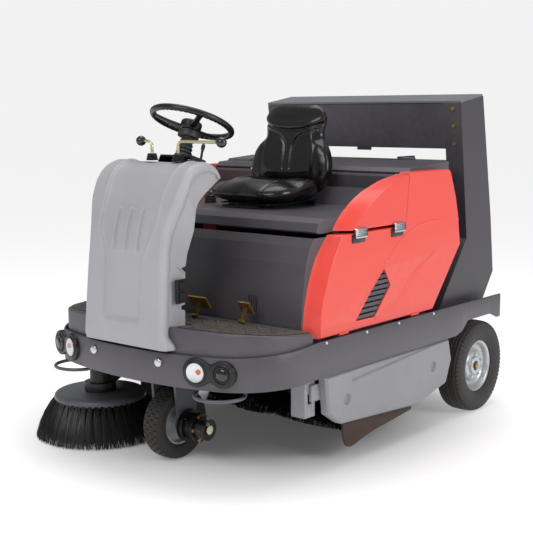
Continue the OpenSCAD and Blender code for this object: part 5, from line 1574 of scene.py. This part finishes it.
@dataclass
class Wheel:
    """A tyre with its tread, on an axle along X."""

    machine: Machine
    centre: tuple[float, float, float]
    diameter: float
    width: float
    bead: float
    tread: Tread

    def profile(self, count: int = 72) -> tuple[Array, Array]:
        """Half section of the tyre from bead to bead, as distance along and radius."""
        r, ri, w = self.diameter / 2, self.bead, self.width / 2
        line = spline([[-0.70 * w, ri], [-0.84 * w, ri + 4], [-0.98 * w, ri + (r - ri) * 0.3],
                       [-1.02 * w, ri + (r - ri) * 0.58], [-0.97 * w, r - 15], [-0.86 * w, r - 5.5],
                       [-0.6 * w, r - 1.4], [0.0, r], [0.6 * w, r - 1.4], [0.86 * w, r - 5.5],
                       [0.97 * w, r - 15], [1.02 * w, ri + (r - ri) * 0.58],
                       [0.98 * w, ri + (r - ri) * 0.3], [0.84 * w, ri + 4], [0.70 * w, ri]], count)
        return line[:, 0], line[:, 1]

    def groove(self, angle: Array, along: Array, radius: Array) -> Array:
        """Depth of the tread's grooves at an angle and a place across the tyre."""
        w, r = self.width / 2, self.diameter / 2
        k = along / w
        crown = smooth(r - 16.0, r - 6.0, radius)
        if self.tread is Tread.BLOCKS:
            n, rows = 34, 4.0
            place = k * rows / 1.7 + 10.0
            row = np.abs((place % 1.0) - 0.5)
            cut = np.abs(((angle / TAU * n + np.floor(place) % 2 * 0.5 + 10.0) % 1.0) - 0.5)
            slots = smooth(0.16, 0.08, cut) * smooth(0.44, 0.36, row) * smooth(0.98, 0.92,
                                                                               np.abs(k))
            return 6.0 * crown * np.maximum(slots, 0.3 * smooth(0.45, 0.49, row))
        n = 64
        ribs = sum(smooth(0.05, 0.02, np.abs(np.abs(k) - at)) for at in (0.16, 0.48, 0.76))
        cut = np.abs(((angle / TAU * n + 10.0) % 1.0) - 0.5)
        sipes = 0.55 * smooth(0.12, 0.05, cut) * pulse(0.2, 0.44, 0.04, np.abs(k))
        notch = smooth(0.2, 0.1, cut) * smooth(0.8, 0.84, np.abs(k)) * smooth(r - 30.0, r - 22.0,
                                                                              radius)
        return 5.5 * np.maximum(crown * np.maximum(np.minimum(ribs, 1.0), sipes), notch)

    def tyre(self, name: str, finish: Material, body: str, node: str, segments: int) -> None:
        """The tyre: its section turned about the axle, less the grooves, with sidewall ribs."""
        x, radius = self.profile()
        a = np.linspace(0.0, TAU, segments, endpoint=False)[None, :]
        along, r = x[:, None], radius[:, None]
        ri, ro = self.bead, self.diameter / 2
        rings = 0.8 * np.exp(-((r - ri - (ro - ri) * 0.42) / 1.6)**2) + 0.8 * np.exp(
            -((r - ri - (ro - ri) * 0.62) / 1.6)**2)
        depth = self.groove(a + 0 * along, along + 0 * a, r + 0 * a)
        radial = r - depth
        side = along + np.sign(along) * rings * (np.abs(along) > self.width * 0.4) + 0 * a
        p = np.stack([side, radial * np.cos(a), radial * np.sin(a)],
                     axis=-1) + np.array(self.centre)
        skin = self.machine.skin()
        skin.grid(np.concatenate([p, p[:1]]), close_v=True)
        skin.build(name, finish, body, node, sharp=38)


@dataclass
class RearRim:
    """A pressed steel rim with a dished disc, five nuts and a hub nut."""

    machine: Machine
    side: str
    centre: tuple[float, float, float]

    def build(self, steel: Material, brass: Material) -> None:
        """Makes the rim, and the hub nut as a piece of its own."""
        profile = spline([[-42, 119.5], [-42, 113], [-30, 108], [0, 106], [16, 104], [8, 92],
                          [10, 78],
                          [24, 66], [27, 52], [25, 44], [36, 41], [36, 24]], 60)
        outer = spline([[36, 24], [31, 24], [20, 40], [14, 60], [2, 76], [0, 92], [8, 101],
                        [30, 108],
                        [38, 112], [42, 119], [44, 123], [40, 124], [20, 121.5], [-20, 121.5],
                        [-42, 119.5]], 60)
        skin = self.machine.skin()
        body = np.concatenate([profile, outer[1:-1]])
        skin.lathe(np.concatenate([body, body[:1]]), self.centre, 0, 96)
        for k in range(5):
            a = TAU * k / 5 + 0.3
            y, z = 57.0 * math.cos(a), 57.0 * math.sin(a)
            hexagon = np.array([[24, 0], [24, 8.5], [31, 8.5], [33, 7], [33, 4.5], [37, 4.2],
                                [38, 0]], float)
            skin.lathe(hexagon, [self.centre[0], self.centre[1] + y, self.centre[2] + z], 0, 6)
        name = f"rear_rim_{self.side}"
        self.flip(skin)
        skin.build(f"{name}_disc", steel, f"rear_wheel_{self.side}", name, sharp=40)
        nut = self.machine.skin()
        nut.lathe(np.array([[35, 0], [35, 14], [45, 13], [46, 9], [44, 8], [44, 0]], float),
                  self.centre, 0, 6)
        self.flip(nut)
        nut.build(f"hub_nut_{self.side}", brass, f"rear_wheel_{self.side}", sharp=40)

    def flip(self, skin: Skin) -> None:
        """Turns a left part into its right twin."""
        if self.side == "right":
            skin.moved(lambda p: p * [-1.0, 1.0, 1.0])


# ---- brooms --------------------------------------------------------------------


@dataclass
class Brooms:
    """The side broom with its disc, and the main broom between the axles."""

    machine: Machine
    side_centre: tuple[float, float] = (-505.0, 315.0)
    disc_radius: float = 203.0
    sweep_radius: float = 285.0
    disc_z: float = 176.0
    main_centre: tuple[float, float] = (1010.0, 152.0)
    main_radius: float = 150.0
    main_length: float = 900.0

    def strands(self, root: Array, tip: Array, sag: Array, thick: float, steps: int = 5) -> Skin:
        """Thin three-sided bristles from roots to tips, bent by a sag at mid length.

        Args:
            root: Root points.
            tip: Tip points.
            sag: How far each strand's middle is pushed, as vectors.
            thick: Diameter at the root; the tip has half of it.
            steps: Rings along a strand.

        Returns:
            A skin with all strands.
        """
        t = np.linspace(0.0, 1.0, steps)[None, :, None]
        line = root[:, None] * (1 - t) + tip[:, None] * t + sag[:, None] * (4 * t * (1 - t))
        run = tip - root
        a = np.cross(run, [0.31, 0.17, 0.93])
        a /= np.linalg.norm(a, axis=1, keepdims=True)
        b = np.cross(run, a)
        b /= np.linalg.norm(b, axis=1, keepdims=True)
        ring = np.array([0.0, TAU / 3, 2 * TAU / 3])
        around = (a[:, None, None] * np.cos(ring)[None, None, :, None]
                  + b[:, None, None] * np.sin(ring)[None, None, :, None])
        radius = (thick / 2 * (1.0 - 0.5 * t))[..., None]
        p = line[:, :, None] + around * radius
        n = len(root)
        base = np.arange(steps - 1)[:, None] * 3 + np.arange(3)[None]
        nxt = np.arange(steps - 1)[:, None] * 3 + (np.arange(3)[None] + 1) % 3
        quads = np.stack([base, nxt, nxt + 3, base + 3], axis=-1).reshape(-1, 4)
        tris = np.array([[0, 2, 1, 0],
                         [3 * steps - 3, 3 * steps - 2, 3 * steps - 1, 3 * steps - 3]])
        offset = 3 * steps * np.arange(n)[:, None, None]
        skin = self.machine.skin()
        faces = (quads[None] + offset).reshape(-1, 4).tolist()
        faces += (tris[None, :, :3] + offset).reshape(-1, 3).tolist()
        skin.add(p.reshape(-1, 3), faces)
        return skin

    def side_disc(self, finish: Material) -> None:
        """The carrier plate: a flat disc with a rolled-down rounded rim."""
        r = self.disc_radius
        profile = [[9, 0], [24, 0], [24.5, 60], [22, 66], [21, 140], [20, r - 34], [20, r - 24],
                   [18.5, r - 14], [14, r - 6], [7, r - 1], [-1, r], [-9, r - 1], [-14, r - 5],
                   [-15, r - 11], [-10, r - 16], [2, r - 17], [8, 150], [9, 60]]
        skin = self.machine.skin()
        skin.lathe(np.array(profile + [[9, 0]], float), [*self.side_centre, self.disc_z], 2, 120)
        skin.build("side_broom_plate", finish, "side_broom", "side_broom", sharp=50)

    def side_bristles(self, finish: Material) -> None:
        """Rows of bristles that splay from the plate to the floor, uneven in length and lean."""
        rng = np.random.default_rng(11)
        n = 7000
        a = rng.uniform(0.0, TAU, n)
        clump = np.round(a / TAU * 46) / 46 * TAU
        a = a * 0.55 + clump * 0.45
        row = rng.choice([0.0, 1.0, 2.0], n, p=[0.42, 0.34, 0.24])
        root_r = self.disc_radius - 14.0 - 22.0 * row + rng.uniform(-5, 5, n)
        tip_r = self.sweep_radius - 8.0 - 44.0 * row + rng.normal(0, 7, n)
        tip_r = np.minimum(tip_r, self.sweep_radius + 1.0)
        lean = rng.normal(0.0, 0.035, n) + 0.05
        z_tip = 3.0 + np.abs(rng.normal(0, 5, n)) + 3.0 * row
        c = np.array(self.side_centre)
        root = np.column_stack([c[0] + root_r * np.cos(a), c[1] + root_r * np.sin(a),
                                np.full(n, self.disc_z + 6.0)])
        tip = np.column_stack([c[0] + tip_r * np.cos(a + lean), c[1] + tip_r * np.sin(a + lean),
                               z_tip])
        out = np.column_stack([np.cos(a), np.sin(a), np.zeros(n)])
        sag = out * rng.normal(9.0, 3.0, n)[:, None] + [0.0, 0.0, 6.0]
        skin = self.strands(root, tip, sag, 2.6, 5)
        # A solid ring of bristle colour inside the strands: it stands for the dense inner bristles,
        # and also fills the hollow under the plate as a dark body, painted shade where there is
        # only shade.
        core = np.array([[self.disc_z + 5, 60], [self.disc_z + 5, 165], [96, 196], [30, 222],
                         [14, 214],
                         [60, 150], [self.disc_z + 5, 60]], float)
        skin.lathe(core, [*self.side_centre, 0.0], 2, 72,
                   lambda angle, i: 4.0 * np.sin(angle * 46) + 3.0 * np.sin(angle * 31 + i))
        skin.build("side_broom_bristles", finish, "side_broom", sharp=80)

    def main(self, core_finish: Material, bristle: Material) -> None:
        """The main broom: a core tube with bristle rows wound in a chevron."""
        y, z = self.main_centre
        half = self.main_length / 2
        core = self.machine.skin()
        core.lathe(np.array([[-half - 22, 0], [-half - 22, 14.9], [-half, 14.9], [-half, 62],
                             [half, 62],
                             [half, 14.9], [half + 22, 14.9], [half + 22, 0]], float), [0, y, z], 0,
                   48)
        core.build("main_broom_core", core_finish, "main_broom", "main_broom", sharp=40)
        rng = np.random.default_rng(5)
        n = 9000
        x = rng.uniform(-half + 4, half - 4, n)
        row = rng.integers(0, 8, n)
        a = TAU * row / 8 + np.abs(x) / half * 1.1 + rng.normal(0, 0.05, n)
        reach = self.main_radius - 1.0 - np.abs(rng.normal(0, 2.0, n))
        spread = rng.normal(0, 0.03, n)
        root = np.column_stack([x, y + 60 * np.cos(a), z + 60 * np.sin(a)])
        tip = np.column_stack([x + rng.normal(0, 3, n), y + reach * np.cos(a + spread),
                               z + reach * np.sin(a + spread)])
        tip[:, 2] = np.maximum(tip[:, 2], 1.0)
        self.strands(root, tip, rng.normal(0, 1.5, (n, 3)), 3.2, 3).build(
            "main_broom_bristles", bristle, "main_broom", sharp=80)


# ---- skirts and drive ------------------------------------------------------------


@dataclass
class SideSkirts:
    """The moulded skirts beside the main broom, their brackets and rubber flaps."""

    machine: Machine
    relief: float = 6.0

    def face(self, y: Array, z: Array) -> Array:
        """How far the face stands out: a sunk upper strip and two round dimples."""
        line = 350.0 + (y - 640.0) * 0.065
        sunk = smooth(line - 5.0, line + 5.0, z) * smooth(636.0, 654.0, y)
        dimples = sum(smooth(24.0, 18.0, np.hypot(y - a, z - b)) for a,
                      b in ((613.0, 281.0), (1265.0, 294.0)))
        border = np.array([[473, 398], [1400, 398], [1426, 300], [1381, 194], [1145, 146],
                           [580, 186],
                           [493, 242], [473, 398]], float)
        edge = far_from(np.column_stack([y.ravel(), z.ravel()]), border).reshape(y.shape)
        return -self.relief * sunk - 11.0 * dimples - 9.0 * smooth(10.0, 0.0, edge)

    def shells(self, finish: Material) -> None:
        """Each shell is a sheet between its lower and upper edge lines, with returned edges."""
        hw = self.machine.half_width
        low = resample([[475, 385], [493, 242], [580, 186], [1145, 146], [1381, 194], [1426, 300]],
                       260)
        top = resample([[473, 398], [1400, 398]], 260)
        v = np.linspace(0.0, 1.0, 80)[:, None, None]
        plane = low * (1 - v) + top * v
        outer = np.concatenate([(hw - 6.5 + self.face(plane[..., 0], plane[..., 1]))[..., None],
                                plane], axis=-1)
        back = outer.copy()
        back[..., 0] = hw - 46.0
        skin = self.machine.skin()
        skin.grid(outer)
        skin.grid(back)
        for a, b in ((outer[0], back[0]), (outer[-1], back[-1]), (outer[:, 0], back[:, 0]),
                     (outer[:, -1], back[:, -1])):
            skin.grid(np.stack([a, b]))
        for low_y, high_y, z0, z1 in ((405, 425, 236, 494), (450, 470, 236, 494),
                                      (425, 450, 236, 290),
                                      (425, 450, 330, 494)):
            skin.block([hw - 130, low_y, z0], [hw - 60, high_y, z1], 1.5)
        skin.block([hw - 60, 430, 300], [hw - 46, 520, 366], 1.5)
        for y in (700.0, 1200.0):
            skin.block([hw - 46, y, 370], [hw - 20, y + 60, 494], 1.5)
        skin.mirrored()
        skin.build("side_skirt_shells", finish, "chassis", "side_skirts", sharp=50)

    def flaps(self, finish: Material) -> None:
        """Rubber flaps whose lower edge waves and lifts towards the rear."""
        hw = self.machine.half_width
        lower = spline([[1150, 116], [1010, 102], [880, 90], [780, 74], [715, 60], [676, 62],
                        [656, 84],
                        [642, 130]], 60)
        outline = np.concatenate([[[640, 186], [1150, 152]], lower])
        skin = self.machine.skin()
        skin.prism(outline, sidelong, [hw - 57.5, hw - 56.5, hw - 48.0, hw - 47.0],
                   [1.0, 0.0, 0.0, 1.0])
        skin.mirrored()
        skin.build("side_skirt_flaps", finish, "chassis", sharp=50)


@dataclass
class DriveTrim:
    """Small parts on the hub motor: flange bolts and the pale end cap."""

    machine: Machine
    axle: tuple[float, float] = FRONT_HUB[1:]

    def build(self, brass: Material, pale: Material) -> None:
        """Bolts round the motor's flange, and the cap on its end."""
        start = (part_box("drive_motor")[0][0] - self.machine.datum.x) / MM - 12.4
        skin = self.machine.skin()
        for angle in (35.0, 108.0, 180.0, 252.0, 325.0):
            y = self.axle[0] + 49.0 * math.cos(math.radians(angle))
            z = self.axle[1] + 49.0 * math.sin(math.radians(angle))
            head = np.array([[start + 87, 0], [start + 87, 8.0], [start + 94, 8.0],
                             [start + 95.5, 6.5],
                             [start + 95.5, 0]], float)
            skin.lathe(head, [0.0, y, z], 0, 6)
        skin.build("motor_flange_bolts", brass, "fork", sharp=30)
        cap = self.machine.skin()
        cap.lathe(np.array([[start + 131, 0], [start + 131, 21.5], [start + 136, 20.5],
                            [start + 137.5, 17],
                            [start + 138, 0]], float), [0.0, *self.axle], 0, 40)
        cap.build("motor_end_cap", pale, "fork", sharp=40)


# ---- the scene -----------------------------------------------------------------


@dataclass
class Studio:
    """A pale floor, soft light from boxes, and the camera."""

    place: tuple[float, float, float] = (3.1736, -3.779, 1.4276)
    azimuth: float = 40.0
    fall: float = 8.2
    roll: float = -0.3
    lens: float = 73.5

    def camera(self) -> None:
        """The camera, at the machine's left front and a little above."""
        data = bpy.data.cameras.new("camera")
        data.lens = self.lens
        data.sensor_width = 36.0
        data.dof.use_dof = False
        camera = bpy.data.objects.new("camera", data)
        bpy.context.scene.collection.objects.link(camera)
        a, e = math.radians(self.azimuth), math.radians(self.fall)
        look = Vector((-math.sin(a) * math.cos(e), math.cos(a) * math.cos(e), -math.sin(e)))
        turn = look.to_track_quat("-Z", "Y").to_matrix().to_4x4()
        camera.matrix_world = (Matrix.Translation(self.place) @ turn
                               @ Matrix.Rotation(math.radians(self.roll), 4, "Z"))
        bpy.context.scene.camera = camera

    def floor(self) -> None:
        """A wide white floor, which isn't part of the machine."""
        mesh = bpy.data.meshes.new("studio_floor")
        mesh.from_pydata([(-30, -30, 0), (30, -30, 0), (30, 30, 0), (-30, 30, 0)], [],
                         [(0, 1, 2, 3)])
        mesh.materials.append(self.floor_paint_with_painted_light())
        floor = bpy.data.objects.new("studio_floor", mesh)
        bpy.context.scene.collection.objects.link(floor)

    def floor_paint_with_painted_light(self) -> Material:
        """White matt floor that glows a little, more so far out: painted light.

        The glow is faint by the machine, which paints its shadow on the floor there.
        """
        mat = bpy.data.materials.new("white matt floor with painted light and shadow")
        mat.use_nodes = True
        tree = mat.node_tree
        tree.nodes.clear()
        place = add_node(tree, "ShaderNodeTexCoord").outputs["Object"]
        cloud = add_node(tree, "ShaderNodeTexNoise", {"Vector": place},
                         {"Scale": 0.8, "Detail": 2.0})
        mix = add_node(tree, "ShaderNodeMix", {0: cloud.outputs["Fac"]},
                       {6: linear("#cfcfcf"), 7: linear("#d2d2d2")}, data_type="RGBA")
        # Painted light and shadow: the glow rises with distance from the middle, from 0.06 within
        # 0.55 m to 0.656 beyond 1.35 m.
        far = add_node(tree, "ShaderNodeVectorMath", {0: place}, operation="LENGTH")
        painted_floor_light = add_node(tree, "ShaderNodeMapRange", {0: far.outputs["Value"]},
                        {1: 0.55, 2: 1.35, 3: 0.06, 4: 0.656})
        shader = add_node(tree, "ShaderNodeBsdfPrincipled",
                          {"Base Color": mix.outputs[2], "Emission Strength": painted_floor_light.outputs[0]},
                          {"Roughness": 0.9, "Specular IOR Level": 0.1,
                           "Emission Color": (1.0, 1.0, 1.0, 1.0)})
        add_node(tree, "ShaderNodeOutputMaterial", {"Surface": shader.outputs[0]})
        return mat

    def light(self, name: str, at: tuple[float, float, float], size: tuple[float, float],
              watts: float) -> None:
        """One soft box that faces the machine's middle."""
        data = bpy.data.lights.new(name, "AREA")
        data.shape = "RECTANGLE"
        data.size, data.size_y = size
        data.energy = watts
        lamp = bpy.data.objects.new(name, data)
        bpy.context.scene.collection.objects.link(lamp)
        aim = (Vector((0.0, 0.0, 0.6)) - Vector(at)).to_track_quat("-Z", "Y")
        lamp.matrix_world = Matrix.Translation(at) @ aim.to_matrix().to_4x4()

    def build(self) -> None:
        """Sets the whole studio up: world, boxes, floor, camera and view."""
        scene = bpy.context.scene
        world = bpy.data.worlds.new("studio")
        world.use_nodes = True
        tree = world.node_tree
        tree.nodes.clear()
        soft = add_node(tree, "ShaderNodeBackground",
                        values={"Color": (1.0, 1.0, 1.0, 1.0), "Strength": 0.36})
        backdrop = add_node(tree, "ShaderNodeBackground",
                            values={"Color": (1.0, 1.0, 1.0, 1.0), "Strength": 0.89})
        path = add_node(tree, "ShaderNodeLightPath")
        mix = add_node(tree, "ShaderNodeMixShader", {0: path.outputs["Is Camera Ray"],
                                                     1: soft.outputs[0],
                                                     2: backdrop.outputs[0]})
        add_node(tree, "ShaderNodeOutputWorld", {"Surface": mix.outputs[0]})
        scene.world = world
        self.light("key_box", (0.6, -4.8, 4.0), (3.0, 2.2), 95.0)
        self.light("side_box", (5.0, 0.4, 2.6), (2.2, 2.2), 95.0)
        self.light("top_box", (0.0, 0.4, 5.0), (4.0, 3.0), 95.0)
        self.floor()
        self.camera()
        scene.view_settings.view_transform = "Standard"
        scene.view_settings.look = "None"


# Finish, edge rounding in millimetres and nodes, for the CAD parts whose shape is right as it is.
DRESSED = (
    ("grey", 2.5, ("seat_box", "seat_deck")),
    # Portal and filter box take the grey coat darkened as painted shade.
    ("dark", 2.5, ("portal_frame", "filter_box")),
    # The filter lid takes the coat lightened as painted light.
    ("lid", 2.5, ("filter_lid",)),
    ("black", 1.5, ("column_shroud", "switch_plate", "rocker_upper", "rocker_lower", "seat_base",
                    "drive_motor")),
    # The grilles take the same coat darkened as painted shade.
    ("dark", 0.8, ("door_grille_left", "door_grille_right")),
    ("grey", 3.0, ("engine_hood",)),
    ("enamel", 1.5, ("chassis_frame", "side_broom_arm", "broom_arms", "rear_axle",
                     "steering_column")),
    ("hopper", 2.0, ("hopper", "steering_fork", "lift_cylinders")),
    ("zinc", 0.6, ("lift_rods",)),
    ("brass", 0.8, ("portal_bolts", "accelerator_pedal", "brake_pedal")),
    ("lacquer", 0.8, ("front_rim",)),
    ("paper", 0.0, ("panel_filter",)),
    ("casting", 3.0, ("power_pack",)),
)


def finishes() -> dict[str, Material]:
    """Makes every finish's material once.

    Returns:
        The materials by a short name.
    """
    # The dark coat carries painted shade, the lid coat painted light, and the reflector's white
    # base a painted reflection.
    kinds = {"grey": POWDER_COAT, "lid": LID_COAT_PAINTED_LIGHT, "cowl": COWL_PLASTIC, "red": RED_SHELL,
             "dark": PORTAL_COAT_PAINTED_SHADE, "black": BLACK_ABS, "resin": BALL_RESIN, "enamel": CHASSIS_ENAMEL,
             "hopper": GREY_ENAMEL, "mat": MAT_RUBBER, "tyre": TYRE_RUBBER,
             "bellows": BELLOWS_RUBBER, "flap": FLAP_RUBBER, "lacquer": RIM_LACQUER, "zinc": ZINC,
             "reflector_painted_shine": REFLECTOR_PAINTED_SHINE, "brass": YELLOW_ZINC, "cream": CREAM_ROD, "seat": SEAT_SKIN,
             "bristle": BRISTLE, "amber": AMBER, "skirt": SKIRT_PLASTIC, "paper": PAPER,
             "casting": CASTING, "lens": LensFinish()}
    return {name: kind.material() for name, kind in kinds.items()}


@dataclass
class Assembly:
    """Builds every piece of the machine's looks on its frame."""

    frame: dict[str, Any]
    machine: Machine
    paint: dict[str, Material]

    def dress_frame(self) -> None:
        """Gives the CAD parts in DRESSED their finish and rounded edges."""
        for finish, bevel, nodes in DRESSED:
            for name in nodes:
                dress(self.frame["nodes"][name], self.paint[finish], bevel)
                LOG.info("%s: dressed in %s", name, self.paint[finish].name)

    def front(self) -> None:
        """Bumper band, platform, mat, cowl, lamps and controls."""
        machine, paint = self.machine, self.paint
        band = BumperBand(machine)
        band.band(paint["grey"])
        band.platform(paint["grey"])
        band.bolts(paint["zinc"])
        TreadMat(machine).build(paint["mat"])
        FrontCowl(machine).build(paint["cowl"])
        lamps = Lamps(machine)
        lamps.bezels(paint["black"])
        lamps.bowls(paint["reflector_painted_shine"], paint["amber"], paint["resin"], paint["lens"])
        lamps.guards(paint["hopper"])
        controls = Controls(machine)
        controls.wheel(paint["black"])
        for name, x, reach in LEVERS:
            controls.lever(name, (x, LEVER_Y, LEVER_Z), reach, paint["cream"], paint["resin"])
        controls.bellows(paint["bellows"])
        controls.stalk(paint["black"])
        controls.brake(paint["cream"], paint["bellows"])

    def panels(self) -> None:
        """The red lids and doors with their trim and latches."""
        panels = RedPanels(self.machine)
        panels.lids(self.paint["red"])
        for side in ("left", "right"):
            panels.door(side, self.paint["red"])
            panels.trim(side, self.paint["brass"], self.paint["black"])
            for place, y in LATCHES:
                panels.latch(side, place, y, self.paint["zinc"])

    def wheels(self) -> None:
        """Two rear wheels with pressed rims and the driven front wheel."""
        machine, tyre = self.machine, self.paint["tyre"]
        for side, sign in (("left", 1.0), ("right", -1.0)):
            centre = (sign * REAR_HUB[0], *REAR_HUB[1:])
            Wheel(machine, centre, 434.0, 118.0, 120.0, Tread.RIBS).tyre(
                f"rear_tyre_{side}_rubber", tyre, f"rear_wheel_{side}", f"rear_tyre_{side}", 768)
            RearRim(machine, side, REAR_HUB).build(self.paint["lacquer"], self.paint["brass"])
        Wheel(machine, FRONT_HUB, 300.0, 90.0, 88.0, Tread.BLOCKS).tyre(
            "front_tyre_rubber", tyre, "front_wheel", "front_tyre", 544)

    def rest(self) -> None:
        """Seat, side skirts, drive trim and brooms."""
        seat = Seat(self.machine)
        seat.cushion(self.paint["seat"])
        seat.back(self.paint["seat"])
        skirts = SideSkirts(self.machine)
        skirts.shells(self.paint["skirt"])
        skirts.flaps(self.paint["flap"])
        DriveTrim(self.machine).build(self.paint["brass"], self.paint["paper"])
        brooms = Brooms(self.machine)
        brooms.side_disc(self.paint["hopper"])
        brooms.side_bristles(self.paint["bristle"])
        brooms.main(self.paint["enamel"], self.paint["bristle"])


def main() -> None:
    """Builds the machine's looks on its frame, group by group, and sets the scene."""
    logging.basicConfig(level=logging.INFO, format="%(levelname)s %(message)s")
    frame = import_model()
    assembly = Assembly(frame, Machine.of_frame(), finishes())
    assembly.dress_frame()
    assembly.front()
    assembly.panels()
    assembly.wheels()
    assembly.rest()
    Studio().build()


if __name__ == "__main__":
    main()
